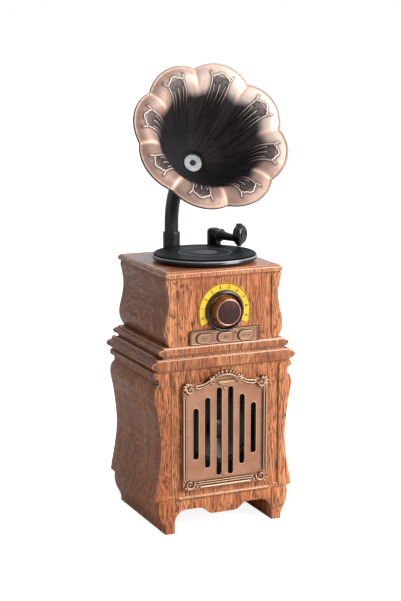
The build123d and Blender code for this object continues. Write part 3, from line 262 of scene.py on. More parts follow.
def mesh_from(name, whole):
    """A mesh from a shape, in metres, with its marks as attributes, doubles merged, faces outwards."""
    mesh = bpy.data.meshes.new(name)
    mesh.from_pydata((whole["points"] * MM).tolist(), [], whole["faces"].tolist())
    for mark, values in whole["marks"].items():
        layer = mesh.attributes.new(mark, "FLOAT", "POINT")
        layer.data.foreach_set("value", values.astype(np.float32))
    work = bmesh.new()
    work.from_mesh(mesh)
    bmesh.ops.remove_doubles(work, verts=work.verts, dist=1e-7)
    bmesh.ops.dissolve_degenerate(work, dist=1e-8, edges=work.edges)
    bmesh.ops.recalc_face_normals(work, faces=work.faces)
    work.to_mesh(mesh)
    work.free()
    return mesh


def dress(obj, body, stands_for=()):
    """Hangs the piece under its body's empty, and hides the CAD nodes that it stands for."""
    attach(obj, body)
    if stands_for:
        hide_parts(*stands_for)
    return obj


def placed(name, data):
    """An object that holds the data, put into the scene."""
    obj = bpy.data.objects.new(name, data)
    bpy.context.scene.collection.objects.link(obj)
    return obj


def add_piece(name, shapes, body, material, stands_for=(), sharp=40):
    """One object from a list of shapes."""
    mesh = mesh_from(name, joined(shapes))
    mesh.shade_smooth()
    mesh.set_sharp_from_angle(angle=np.radians(sharp))
    mesh.materials.append(material)
    return dress(placed(name, mesh), body, stands_for)


SHARP_CORNER = 30


def turned_piece(name, profile, centre, axis, body, finish, stands_for=(), steps=96, loop=False, sharp=50):
    """One turned object."""
    skin = [turned(profile, centre, axis, steps=steps, loop=loop)]
    return add_piece(name, skin, body, material(finish), stands_for, sharp)


def eased_copy(name, node, body, material, width):
    """A copy of a CAD node with its corners eased: triangles merged, flat faces made whole, and each
    outward corner sharper than the limit cut back by the width. The faces so made get edge = 1."""
    work = bmesh.new()
    work.from_mesh(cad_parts[node].data)
    layer = work.faces.layers.float.new("edge")
    bmesh.ops.remove_doubles(work, verts=work.verts, dist=2e-6)
    bmesh.ops.dissolve_limit(
        work, angle_limit=np.radians(0.6), use_dissolve_boundaries=False, verts=work.verts, edges=work.edges
    )
    limit = np.radians(SHARP_CORNER)
    corners = [e for e in work.edges if e.is_manifold and e.calc_face_angle_signed(0.0) > limit]
    cut = bmesh.ops.bevel(
        work,
        geom=corners,
        offset=width,
        offset_type="OFFSET",
        segments=2,
        profile=0.5,
        affect="EDGES",
        clamp_overlap=True,
    )
    for face in cut["faces"]:
        face[layer] = 1.0
    mesh = bpy.data.meshes.new(name)
    work.to_mesh(mesh)
    work.free()
    mesh.shade_smooth()
    mesh.set_sharp_from_angle(angle=np.radians(28))
    mesh.materials.clear()
    mesh.materials.append(material)
    return dress(placed(name, mesh), body, (node,))


def finish_nodes(material, *nodes):
    """Gives a material to CAD nodes that stay as they are."""
    for name in nodes:
        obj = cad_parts[name]
        if not obj.material_slots:
            obj.data.materials.append(material)
        for held in obj.material_slots:
            held.material = material


# ---------------------------------------------------------------- node webs for the materials


def colour(red, green, blue):
    """A colour given in screen steps from 0 to 255, as the linear values that nodes take."""
    screen = np.array([red, green, blue]) / 255
    linear = np.where(screen <= 0.04045, screen / 12.92, ((screen + 0.055) / 1.055) ** 2.4)
    return (*linear.tolist(), 1.0)


class Web:
    """Adds nodes to a tree and joins them up."""

    def __init__(self, tree):
        self.tree = tree

    def put(self, kind, settings=None, sockets=None):
        """A node with its settings, each socket given a value or a link."""
        made = self.tree.nodes.new(kind)
        for name, value in (settings or {}).items():
            setattr(made, name, value)
        for key, value in (sockets or {}).items():
            socket = made.inputs[key]
            if isinstance(value, bpy.types.Node):
                value = value.outputs[0]
            if isinstance(value, bpy.types.NodeSocket):
                self.tree.links.new(value, socket)
            else:
                socket.default_value = value
        return made

    def math(self, operation, a, b=0.0, clamp=False):
        return self.put("ShaderNodeMath", {"operation": operation, "use_clamp": clamp}, {0: a, 1: b}).outputs[0]

    def times(self, a, b):
        return self.math("MULTIPLY", a, b)

    def vector(self, operation, a, b=(0.0, 0.0, 0.0)):
        return self.put("ShaderNodeVectorMath", {"operation": operation}, {0: a, 1: b}).outputs[0]

    def scaled(self, a, scale):
        return self.vector("MULTIPLY", a, scale)

    def grown(self, a, scale):
        """A vector times one number."""
        return self.put("ShaderNodeVectorMath", {"operation": "SCALE"}, {0: a, "Scale": scale}).outputs[0]

    def along(self, a, b):
        """Dot product: how far one vector reaches along another."""
        return self.put("ShaderNodeVectorMath", {"operation": "DOT_PRODUCT"}, {0: a, 1: b}).outputs[1]

    def parts(self, a):
        return self.put("ShaderNodeSeparateXYZ", None, {0: a}).outputs

    def made_of(self, *numbers):
        return self.put("ShaderNodeCombineXYZ", None, dict(enumerate(numbers))).outputs[0]

    def hypotenuse(self, a, b):
        """Square root of a squared plus b squared."""
        squares = (self.math("POWER", a, 2.0), self.math("POWER", b, 2.0))
        return self.math("SQRT", self.math("ADD", *squares))

    def noise(self, where, scale, detail=2.0, roughness=0.5, distortion=0.0, out=0):
        sockets = {"Vector": where, "Scale": scale, "Detail": detail}
        sockets.update({"Roughness": roughness, "Distortion": distortion})
        return self.put("ShaderNodeTexNoise", None, sockets).outputs[out]

    def span(self, value, low, high, to_low=0.0, to_high=1.0, kind="LINEAR"):
        sockets = {0: value, 1: low, 2: high, 3: to_low, 4: to_high}
        return self.put("ShaderNodeMapRange", {"interpolation_type": kind, "clamp": True}, sockets).outputs[0]

    def mix(self, factor, a, b, blend="MIX"):
        made = self.put("ShaderNodeMix", {"data_type": "RGBA", "blend_type": blend}, {0: factor, 6: a, 7: b})
        return made.outputs[2]

    def blend(self, factor, a, b):
        return self.put("ShaderNodeMix", {"data_type": "FLOAT"}, {0: factor, 2: a, 3: b}).outputs[0]

    def blend_vector(self, factor, a, b):
        return self.put("ShaderNodeMix", {"data_type": "VECTOR"}, {0: factor, 4: a, 5: b}).outputs[1]

    def mark(self, name):
        return self.put("ShaderNodeAttribute", {"attribute_name": name}).outputs["Fac"]

    def place(self):
        """Object coordinates in mm."""
        spot = self.put("ShaderNodeTexCoord").outputs["Object"]
        return self.scaled(spot, (1000.0, 1000.0, 1000.0))

    def bump(self, height, distance, strength=1.0):
        sockets = {"Strength": strength, "Distance": distance, "Height": height}
        return self.put("ShaderNodeBump", None, sockets).outputs[0]


def new_group(name, takes, gives):
    """An empty node group. Takes and gives list (name, kind, default) for its sockets."""
    tree = bpy.data.node_groups.new(name, "ShaderNodeTree")
    kinds = {"float": "NodeSocketFloat", "vector": "NodeSocketVector", "colour": "NodeSocketColor"}
    for label, kind, default in takes:
        socket = tree.interface.new_socket(name=label, in_out="INPUT", socket_type=kinds[kind])
        socket.default_value = default
    for label, kind in gives:
        tree.interface.new_socket(name=label, in_out="OUTPUT", socket_type=kinds[kind])
    source = tree.nodes.new("NodeGroupInput")
    sink = tree.nodes.new("NodeGroupOutput")
    return tree, Web(tree), source.outputs, sink.inputs


def grain_places_group():
    """Object coordinates in mm, turned so that the grain runs along the third number: up the faces
    that look forward or back, along the width on the top, and up or along the depth on the sides."""
    tree, web, takes, gives = new_group(
        "Grain Places", [("Sides Along Depth", "float", 0.0), ("Arches", "float", 0.0)], [("Place", "vector")]
    )
    spot = web.put("ShaderNodeTexCoord")
    where = web.scaled(spot.outputs["Object"], (1000.0, 1000.0, 1000.0))
    parts = web.parts(where)
    facing = web.parts(spot.outputs["Normal"])
    forward = web.math("GREATER_THAN", web.math("ABSOLUTE", facing[1]), 0.55)
    upward = web.math("GREATER_THAN", web.math("ABSOLUTE", facing[2]), 0.8)
    level = web.made_of(parts[0], parts[2], parts[1])
    wide = web.made_of(parts[2], parts[1], parts[0])
    out_y = web.times(web.math("SUBTRACT", parts[1], 9.0), 1.35)
    out_z = web.math("SUBTRACT", parts[2], 108.0)
    far = web.math("SQRT", web.math("ADD", web.times(out_y, out_y), web.times(out_z, out_z)))
    turn = web.times(web.math("ARCTAN2", out_y, out_z), 30.0)
    arch = web.made_of(far, parts[0], turn)
    side = web.blend_vector(takes[0], where, level)
    side = web.blend_vector(takes[1], side, arch)
    up_or_side = web.blend_vector(upward, side, wide)
    web.tree.links.new(web.blend_vector(forward, up_or_side, where), gives[0])
    return tree


def wood_figure_group():
    """Figure of stained veneer whose grain runs along the third number of Place, in mm."""
    tree, web, takes, gives = new_group(
        "Wood Figure",
        [("Place", "vector", (0, 0, 0)), ("Streaks per mm", "float", 0.55), ("Waviness", "float", 1.6)],
        [("Band", "float"), ("Streak", "float"), ("Fibre", "float"), ("Pore", "float"), ("Height", "float")],
    )
    place, rate, wave = takes[0], takes[1], takes[2]
    bend = web.noise(web.scaled(place, (0.05, 0.05, 0.035)), 1.0, 2.0, 0.5, out=1)
    bend = web.vector("SUBTRACT", bend, (0.5, 0.5, 0.5))
    push = web.grown(bend, wave)
    bent = web.vector("ADD", place, web.scaled(push, (4.0, 4.0, 0.0)))
    across = web.grown(bent, rate)
    band = web.noise(web.scaled(bent, (0.09, 0.09, 0.006)), 1.0, 2.0, 0.5)
    vein = web.noise(web.scaled(across, (1.0, 1.0, 0.035)), 1.0, 1.5, 0.5)
    line = web.math("ABSOLUTE", web.math("SUBTRACT", vein, 0.5))
    line = web.span(line, 0.008, 0.045, 1.0, 0.0, "SMOOTHSTEP")
    second = web.noise(web.scaled(across, (2.3, 2.3, 0.06)), 1.0, 2.0, 0.6)
    patchy = web.span(second, 0.36, 0.56, 0.2, 1.0)
    heavy = web.times(web.span(vein, 0.52, 0.66), web.span(second, 0.44, 0.6))
    thread = web.span(web.noise(web.scaled(across, (3.4, 3.4, 0.11)), 1.0, 1.5, 0.5), 0.515, 0.60)
    dark = web.math("MAXIMUM", web.times(line, patchy), web.times(heavy, 0.75))
    dark = web.math("MAXIMUM", dark, web.times(thread, 0.85))
    fibre = web.noise(web.scaled(bent, (4.5, 4.5, 0.10)), 1.0, 2.0, 0.6)
    pore = web.span(web.noise(web.scaled(bent, (3.4, 3.4, 0.16)), 1.0, 1.0, 0.4), 0.63, 0.70)
    for socket, value in zip(gives, (band, dark, fibre, pore)):
        web.tree.links.new(value, socket)
    rise = web.math("SUBTRACT", web.times(fibre, 0.35), web.times(pore, 0.8))
    rise = web.math("SUBTRACT", rise, web.times(dark, 0.3))
    web.tree.links.new(rise, gives[4])
    return tree


def wear_group():
    """Blotches, fine grit and small scuffs, in mm, for dust and handling wear."""
    tree, web, takes, gives = new_group(
        "Handling Wear",
        [("Place", "vector", (0, 0, 0)), ("Grit per mm", "float", 4.0)],
        [("Blotch", "float"), ("Grit", "float"), ("Scuff", "float")],
    )
    blotch = web.noise(takes[0], 0.09, 3.0, 0.55)
    grit = web.noise(takes[0], takes[1], 2.0, 0.6)
    scratch = web.noise(web.scaled(takes[0], (0.5, 0.5, 2.6)), 1.0, 4.0, 0.7, 0.4)
    web.tree.links.new(blotch, gives[0])
    web.tree.links.new(grit, gives[1])
    web.tree.links.new(web.span(scratch, 0.62, 0.72), gives[2])
    return tree


GROUPS = {}


def group_node(web, name, **values):
    """A shared group placed in a material, with its own values. Underscores stand for spaces."""
    makers = {"Grain Places": grain_places_group, "Wood Figure": wood_figure_group, "Handling Wear": wear_group}
    if name not in GROUPS:
        GROUPS[name] = makers[name]()
    node = web.put("ShaderNodeGroup", {"node_tree": GROUPS[name]})
    for label, value in values.items():
        socket = node.inputs[label.replace("_", " ")]
        if isinstance(value, bpy.types.NodeSocket):
            web.tree.links.new(value, socket)
        else:
            socket.default_value = value
    return node.outputs


def new_material(name, **constants):
    """A material with its Principled shader. Constants are set on the shader's own sockets."""
    made = bpy.data.materials.new(name)
    made.use_nodes = True
    made.node_tree.nodes.clear()
    web = Web(made.node_tree)
    shader = web.put("ShaderNodeBsdfPrincipled")
    end = web.put("ShaderNodeOutputMaterial")
    made.node_tree.links.new(shader.outputs[0], end.inputs[0])
    for label, value in constants.items():
        shader.inputs[label.replace("_", " ")].default_value = value
    return made, web, shader


def feed(web, shader, **sockets):
    """Joins values to the shader's sockets."""
    for label, value in sockets.items():
        web.tree.links.new(value, shader.inputs[label.replace("_", " ")])


def wood_material(name, sides_along=0.0, arches=0.0, rate=0.55, wave=1.6, contrast=1.0, coat=0.15, stain=0.0):
    """Stained and lacquered veneer. Streaks and pores are dark. Eased corners are worn pale and carry a
    painted highlight where they look up, and are darkened with painted shade where they look down.
    The stain value darkens the whole sheet: a little staining on the fronts, and mostly
    painted shade on the side boards."""
    tones = bpy.context.scene.loudspeaker_wood
    made, web, shader = new_material(name, IOR=1.5, Coat_Roughness=0.2, Specular_IOR_Level=0.35)
    place = group_node(web, "Grain Places", Sides_Along_Depth=sides_along, Arches=arches)[0]
    band, streak, fibre, pore, rise = (
        s for s in group_node(web, "Wood Figure", Place=place, Streaks_per_mm=rate, Waviness=wave)
    )
    dark = tones.dark
    base = web.mix(web.span(band, 0.34, 0.66), tones.body, tones.pale)
    # stain sets how far the whole sheet is darkened: staining on the fronts, painted shade on the side boards.
    base = web.mix(web.span(fibre, 0.35, 0.7, stain, stain + 0.28 * contrast), base, dark)
    base = web.mix(web.times(streak, min(0.88 * contrast, 1.0)), base, dark)
    base = web.mix(web.times(pore, 0.45 * contrast), base, dark)
    edge = web.mark("edge")
    upward = web.parts(web.put("ShaderNodeTexCoord").outputs["Normal"])[2]
    rub = web.span(web.noise(web.place(), 0.45, 3.0, 0.6), 0.3, 0.62, 0.45, 1.0)
    # Painted highlight, partly real wear: eased corners that look up are paled towards the worn tone.
    pale = web.times(edge, web.span(upward, -0.25, 0.4, 0.1, 0.9))
    base = web.mix(web.times(pale, rub), base, tones.worn)
    # Painted shade: eased corners that look down are darkened.
    painted_underside_shade = web.times(edge, web.span(upward, -0.8, -0.2, 0.6, 0.0))
    base = web.mix(painted_underside_shade, base, dark)
    gloss = web.blend(streak, 0.36, 0.5)
    gloss = web.blend(web.times(edge, 0.5), gloss, 0.28)
    normal = web.bump(rise, 0.00010, 0.55)
    film = web.span(band, 0.3, 0.7, coat, coat * 0.6)
    feed(web, shader, Base_Color=base, Roughness=gloss, Normal=normal, Coat_Weight=film)
    return made


def cast_material(name, main, raised, deep, metal=0.45, rough=0.36):
    """Antiqued casting: high places rubbed pale, hollows dark, read from the relief mark. Marks below zero are
    painted shade: dark outlines, grooves and dots.
    """
    made, web, shader = new_material(name, IOR=1.5, Coat_Roughness=0.3)
    place = web.place()
    blotch, grit, scuff = group_node(web, "Handling Wear", Place=place, Grit_per_mm=3.0)
    relief = web.mark("relief")
    base = web.mix(web.span(blotch, 0.35, 0.65, 0.0, 0.22), main, raised)
    base = web.mix(web.span(relief, 0.55, 1.0), base, raised)
    hollow = web.span(relief, 0.05, 0.62, 1.0, 0.0)
    marked = web.math("GREATER_THAN", web.math("ABSOLUTE", relief), 0.0001)
    base = web.mix(web.times(hollow, marked), base, deep)
    # Painted shade: relief below zero colours the shadow outlines, grooves and dots with the deep tone.
    base = web.mix(web.times(web.span(relief, -1.0, -0.2, 1.0, 0.0), 0.9), base, deep)
    base = web.mix(web.times(scuff, 0.25), base, raised)
    base = web.mix(web.span(grit, 0.55, 0.8, 0.0, 0.25), base, deep)
    gloss = web.span(grit, 0.3, 0.7, rough - 0.06, rough + 0.12)
    metallic = web.span(blotch, 0.3, 0.7, metal - 0.05, metal + 0.08)
    feed(web, shader, Base_Color=base, Roughness=gloss, Metallic=metallic, Normal=web.bump(grit, 0.00006, 0.4))
    return made


def plain_material(name, main, second, rough=0.35, metal=0.0, coat=0.0, grit=4.0, depth=0.00004, **constants):
    """Moulded, painted or machined stuff: two tones in blotches, fine grit, scuffs and uneven gloss."""
    made, web, shader = new_material(name, **constants)
    blotch, fine, scuff = group_node(web, "Handling Wear", Place=web.place(), Grit_per_mm=grit)
    base = web.mix(web.span(blotch, 0.35, 0.68), main, second)
    base = web.mix(web.span(fine, 0.52, 0.75, 0.0, 0.3), base, second)
    gloss = web.span(fine, 0.3, 0.7, max(rough - 0.05, 0.03), rough + 0.07)
    gloss = web.math("ADD", gloss, web.times(scuff, 0.08))
    metallic = web.span(blotch, 0.3, 0.7, max(metal - 0.03, 0.0), metal)
    feed(web, shader, Base_Color=base, Roughness=gloss, Metallic=metallic, Normal=web.bump(fine, depth, 0.4))
    shader.inputs["Coat Weight"].default_value = coat
    shader.inputs["Coat Roughness"].default_value = 0.12
    return made


def brushed_material(name, centre, main, second, rough=0.3, metal=0.9, rate=3.0, straight=False):
    """Brushed or turned metal: fine lines in rings round the centre, or straight up and down."""
    made, web, shader = new_material(name)
    shift = web.vector("SUBTRACT", web.place(), tuple(centre))
    if straight:
        lines = web.noise(web.scaled(shift, (rate, rate, 0.12)), 1.0, 3.0, 0.65)
    else:
        parts = web.parts(shift)
        ring = web.made_of(web.hypotenuse(parts[0], parts[2]), parts[1], 0.0)
        lines = web.noise(ring, rate, 3.0, 0.65)
    blotch, grit, _ = group_node(web, "Handling Wear", Place=shift, Grit_per_mm=4.0)
    base = web.mix(web.span(lines, 0.35, 0.68), main, second)
    base = web.mix(web.span(blotch, 0.4, 0.7, 0.0, 0.35), base, second)
    gloss = web.span(lines, 0.3, 0.7, rough - 0.06, rough + 0.14)
    metallic = web.span(grit, 0.2, 0.8, metal - 0.05, metal)
    feed(web, shader, Base_Color=base, Roughness=gloss, Metallic=metallic, Normal=web.bump(lines, 0.00005, 0.5))
    return made


def bell_material():
    """Antiqued copper: clean on the flare, blackened in the throat and in the hollows beside the
    raised lines, pale where it is rubbed, and brushed outwards from the throat. Light is painted in
    too: a painted highlight towards one side of the flare and painted shade towards the other, a
    painted reflection streaking the throat's black on one side, and a painted highlight along the
    folds and the lip."""
    tones = bpy.context.scene.loudspeaker_horn
    made, web, shader = new_material("antique_copper_bell", Coat_Roughness=0.25)
    shift = web.vector("SUBTRACT", web.place(), tuple(BELL_FLOOR))
    along = web.along(shift, tuple(BELL_AXIS))
    lift = web.grown(tuple(BELL_AXIS), along)
    flat = web.vector("SUBTRACT", shift, lift)
    heading = web.vector("NORMALIZE", flat)
    out = web.put("ShaderNodeVectorMath", {"operation": "LENGTH"}, {0: flat}).outputs[1]
    spoke = web.scaled(heading, (40.0, 40.0, 40.0))
    slow = web.made_of(web.times(out, 0.09))
    brush = web.noise(web.vector("ADD", spoke, slow), 1.5, 3.0, 0.65)
    broad = web.noise(web.vector("ADD", spoke, slow), 0.16, 2.0, 0.5)
    blotch, grit, _ = group_node(web, "Handling Wear", Place=shift, Grit_per_mm=2.2)
    patina, crevice, polish = web.mark("patina"), web.mark("crevice"), web.mark("polish")
    # Painted highlight and painted shade: the copper is paled towards BELL_PAINTED_LIGHT_SIDE and darkened away
    # from it.
    turn = web.along(heading, BELL_PAINTED_LIGHT_SIDE)
    base = web.mix(web.span(broad, 0.36, 0.64, 0.0, 0.55), tones.copper, tones.shade)
    base = web.mix(web.span(brush, 0.42, 0.7, 0.0, 0.35), base, tones.shade)
    base = web.mix(web.span(grit, 0.5, 0.75, 0.0, 0.3), base, tones.shade)
    base = web.mix(web.span(turn, 0.25, 1.0, 0.0, 0.9), base, tones.rubbed)
    base = web.mix(web.span(turn, -0.6, 0.3, 0.35, 0.0), base, tones.shade)
    cloud = web.math("ADD", patina, web.times(web.math("SUBTRACT", blotch, 0.5), 0.35))
    cloud = web.math("ADD", cloud, web.times(web.math("SUBTRACT", grit, 0.5), 0.30))
    # Painted reflection: a brown-grey streak laid over the black patina on the side towards BELL_SHEEN.
    lean = web.along(heading, BELL_SHEEN)
    sheen = web.times(web.span(lean, 0.1, 1.0), web.span(web.math("ADD", broad, brush), 0.75, 1.2))
    base = web.mix(web.span(cloud, 0.12, 0.92), base, web.mix(sheen, tones.black, tones.sheen))
    base = web.mix(web.times(crevice, 0.85), base, tones.black)
    # Painted highlight: the fold mark pales the valleys between petals and the lip.
    base = web.mix(web.times(web.mark("fold"), 0.9), base, tones.fold)
    base = web.mix(web.times(polish, web.span(brush, 0.25, 0.6, 0.8, 1.0)), base, tones.rubbed)
    gloss = web.span(brush, 0.3, 0.7, 0.46, 0.60)
    metallic = web.blend(web.span(cloud, 0.2, 0.9), 0.30, 0.15)
    normal = web.bump(brush, 0.00008, 0.5)
    feed(web, shader, Base_Color=base, Roughness=gloss, Metallic=metallic, Normal=normal)
    return made


def record_material():
    """Pressed black disc: fine grooves round the spindle, plain bands between tracks, grey label."""
    made, web, shader = new_material("pressed_record", IOR=1.45, Specular_IOR_Level=0.08)
    shift = web.vector("SUBTRACT", web.place(), (RECORD_CENTRE[0], RECORD_CENTRE[1], 0.0))
    parts = web.parts(shift)
    out = web.hypotenuse(parts[0], parts[1])
    wave = web.math("SINE", web.times(out, 2 * np.pi / 0.42))
    track = web.made_of(out)
    gaps = web.noise(track, 0.8, 2.0, 0.6)
    _, grit, scuff = group_node(web, "Handling Wear", Place=shift, Grit_per_mm=3.5)
    label = web.span(out, 8.1, 8.4, 1.0, 0.0)
    band = web.times(web.span(out, 16.2, 16.5), web.span(out, 17.2, 17.5, 1.0, 0.0))
    base = web.mix(web.span(gaps, 0.35, 0.65), colour(10, 10, 12), colour(22, 22, 24))
    base = web.mix(band, base, colour(96, 96, 100))
    base = web.mix(label, base, web.mix(web.span(grit, 0.4, 0.7), colour(84, 84, 88), colour(112, 112, 116)))
    base = web.mix(web.times(scuff, 0.15), base, colour(90, 90, 94))
    cut = web.times(wave, web.span(label, 0.0, 1.0, 1.0, 0.0))
    gloss = web.blend(label, web.span(gaps, 0.3, 0.7, 0.34, 0.46), 0.6)
    feed(web, shader, Base_Color=base, Roughness=gloss, Normal=web.bump(cut, 0.00003, 0.6))
    return made


def amber_material():
    """Tinted amber moulding round the knob: upright dark and honey streaks under a high gloss."""
    made, web, shader = new_material("amber_skirt", IOR=1.5, Coat_Weight=0.8, Coat_Roughness=0.06)
    shift = web.vector("SUBTRACT", web.place(), (DIAL_CENTRE[0], 0.0, DIAL_CENTRE[1]))
    heading = web.vector("NORMALIZE", web.scaled(shift, (1.0, 0.0, 1.0)))
    streak = web.noise(web.scaled(heading, (9.0, 9.0, 9.0)), 1.2, 3.0, 0.6)
    _, grit, _ = group_node(web, "Handling Wear", Place=shift, Grit_per_mm=3.0)
    base = web.mix(web.span(streak, 0.38, 0.62), colour(70, 34, 14), colour(178, 104, 48))
    base = web.mix(web.span(grit, 0.5, 0.8, 0.0, 0.3), base, colour(52, 26, 14))
    feed(web, shader, Base_Color=base, Roughness=web.span(grit, 0.3, 0.7, 0.14, 0.24))
    feed(web, shader, Normal=web.bump(streak, 0.00004, 0.4))
    return made


MATERIALS = {}


def material(name):
    """A finish by name, made when it is first asked for."""
    if name not in MATERIALS:
        if name in PLAIN_FINISHES:
            label, main, second, rest = PLAIN_FINISHES[name]
            MATERIALS[name] = plain_material(label, colour(*main), colour(*second), **rest)
        elif name in WOOD_FINISHES:
            label, rest = WOOD_FINISHES[name]
            MATERIALS[name] = wood_material(label, **rest)
        else:
            MATERIALS[name] = OTHER_FINISHES[name]()
    return MATERIALS[name]


def bronze():
    tones = bpy.context.scene.loudspeaker_grille
    return cast_material("bronze_casting", tones.main, tones.raised, tones.deep)


def bronze_plate():
    tones = bpy.context.scene.loudspeaker_grille
    return cast_material("bronze_plate", tones.plate, tones.raised, tones.deep)


PLAIN_FINISHES = {
    "satin_black": ("satin_black", (24, 24, 27), (42, 42, 46), dict(rough=0.34, coat=0.15)),
    "arm_black": (
        "arm_black", (14, 13, 15), (28, 27, 30), dict(rough=0.34, coat=0.2, depth=0.00002, Specular_IOR_Level=0.4)
    ),
    "gloss_black": ("gloss_black", (10, 10, 12), (22, 22, 25), dict(rough=0.16, coat=0.6, depth=0.00002)),
    "bezel_black": ("bezel_black", (6, 6, 8), (14, 14, 16), dict(rough=0.09, coat=1.0, depth=0.00001)),
    # A near-white tone for the ring on the platter's top edge: a painted highlight.
    "lip_highlight": ("platter_lip_highlight", (196, 198, 202), (150, 152, 156), dict(rough=0.3, metal=0.3, coat=0.5)),
    "rim_black": ("platter_rim", (22, 22, 25), (44, 44, 50), dict(rough=0.22, metal=0.3, coat=0.4)),
    "yellow": ("dial_yellow", (246, 202, 30), (234, 186, 18), dict(rough=0.35, coat=0.3, depth=0.00002)),
    "dial_ink": ("dial_ink", (44, 34, 8), (66, 52, 14), dict(rough=0.5)),
    "steel": ("zinc_steel", (196, 196, 198), (150, 150, 152), dict(rough=0.3, metal=0.9, grit=5.0)),
    "bright_washer": (
        "bright_washer", (206, 206, 208), (146, 146, 150), dict(rough=0.46, metal=0.5, grit=1.3, depth=0.00012)
    ),
    "dark_steel": ("blackened_steel", (40, 40, 42), (66, 66, 68), dict(rough=0.36, metal=0.7)),
    "ferrite": ("ferrite", (44, 44, 46), (62, 60, 58), dict(rough=0.6, grit=6.0)),
    "rubber": ("rubber", (20, 20, 21), (34, 34, 35), dict(rough=0.55, grit=5.0)),
    "cone_paper": (
        "pressed_paper", (22, 22, 26), (40, 40, 44), dict(rough=0.45, coat=0.1, grit=2.0, depth=0.00012)
    ),
    "wrap": ("shrink_wrap", (36, 92, 150), (28, 70, 124), dict(rough=0.28, coat=0.4)),
    "board": ("circuit_board", (26, 94, 54), (18, 66, 40), dict(rough=0.3, coat=0.3)),
    "dark_lens": ("indicator_lens", (60, 10, 8), (30, 6, 6), dict(rough=0.12, coat=0.6)),
    "brass": ("brass", (206, 164, 84), (164, 122, 58), dict(rough=0.28, metal=0.9)),
    "engraved": ("engraved_dark", (52, 32, 24), (78, 50, 38), dict(rough=0.5)),
}
WOOD_FINISHES = {
    "wood_upright": ("veneer_upright", dict(rate=0.62, wave=1.6, contrast=1.1, stain=0.04)),
    # The side and arched boards take a large stain: painted shade, so that the sides stand darker than the fronts.
    "wood_side": ("veneer_side", dict(rate=0.5, wave=1.6, contrast=0.75, coat=0.12, stain=0.34)),
    "wood_moulding": (
        "veneer_moulding", dict(sides_along=1.0, rate=1.0, wave=0.3, contrast=1.5, coat=0.2, stain=0.12)
    ),
    "wood_arched": ("veneer_arched", dict(arches=1.0, rate=0.42, wave=1.3, contrast=0.8, coat=0.3, stain=0.42)),
    "wood_deck": ("veneer_deck", dict(sides_along=1.0, rate=0.9, wave=0.5, coat=1.0)),
    "wood_pilaster": ("veneer_pilaster", dict(rate=0.62, wave=1.7, contrast=1.1)),
}
KNOB_CENTRE = (DIAL_CENTRE[0], 0, DIAL_CENTRE[1])
OTHER_FINISHES = {
    "bronze": bronze,
    "bronze_plate": bronze_plate,
    "bell": bell_material,
    "record": record_material,
    "amber": amber_material,
    "copper_cap": lambda: brushed_material(
        "brushed_copper_face", KNOB_CENTRE, colour(92, 62, 58), colour(52, 34, 34), 0.36, 0.8, 2.4, straight=True
    ),
    "copper_rim": lambda: brushed_material(
        "polished_copper_rim", KNOB_CENTRE, colour(214, 152, 130), colour(160, 104, 86), 0.22, 0.9, 3.0
    ),
}


# ---------------------------------------------------------------- the bell's own surface


def from_crown(angle):
    """Angle from the middle of the nearest lobe, from minus half a step to half a step."""
    return (np.asarray(angle, float) - BELL_PHASE) % BELL_STEP - BELL_STEP / 2


def lobe_reach(angle):
    """How far the outline stands from the bell's axis: each lobe is a round arc between two notches."""
    off = from_crown(angle)
    return LOBE_ARC_CENTRE * np.cos(off) + np.sqrt(LOBE_ARC_R**2 - (LOBE_ARC_CENTRE * np.sin(off)) ** 2)


BELL_TABLE = smooth_through(BELL_CURVE, 16)


def bell_height(radius):
    """Height of the plain bell's inside above the throat floor."""
    return np.interp(radius, BELL_TABLE[:, 0], BELL_TABLE[:, 1])


def bell_place(radius, angle, lift=0.0):
    """A point on the inside of the bell. The radius is drawn in towards the notches by the outline,
    more so near the lip. The height is the plain bell's, plus the swell of each petal, which falls
    to a sharp valley between petals, plus shallow flutes in the throat."""
    sizes = bpy.context.scene.loudspeaker_horn
    radius, angle = np.broadcast_arrays(np.asarray(radius, float), np.asarray(angle, float))
    off = np.abs(from_crown(angle)) / (BELL_STEP / 2)
    pull = ease(radius, 27.0, 46.0)
    reach = radius * (1 - pull * (1 - lobe_reach(angle) / (LOBE_ARC_CENTRE + LOBE_ARC_R)))
    swell = sizes.swell / MM * ease(radius, 29.0, 44.0) * (1 - off**1.8)
    valley = -sizes.valley / MM * ease(radius, 28.0, 38.0) * np.exp(-((1 - off) / 0.09) ** 2)
    flute = 0.28 * np.cos(np.pi * 6 * off) * ease(radius, 9.0, 16.0) * (1 - ease(radius, 30.0, 36.0))
    tall = bell_height(radius) + swell + valley + flute + lift
    out = np.cos(angle)[..., None] * BELL_ACROSS + np.sin(angle)[..., None] * BELL_SIDE
    return BELL_FLOOR + reach[..., None] * out + tall[..., None] * BELL_AXIS


def bell_normal(radius, angle):
    """Which way the inside of the bell faces: across its two directions of travel."""
    d_r = bell_place(radius + 0.1, angle) - bell_place(radius - 0.1, angle)
    d_a = bell_place(radius, angle + 0.002) - bell_place(radius, angle - 0.002)
    normal = unit(np.cross(d_r, d_a))
    return normal * np.sign(normal @ BELL_AXIS)[..., None]


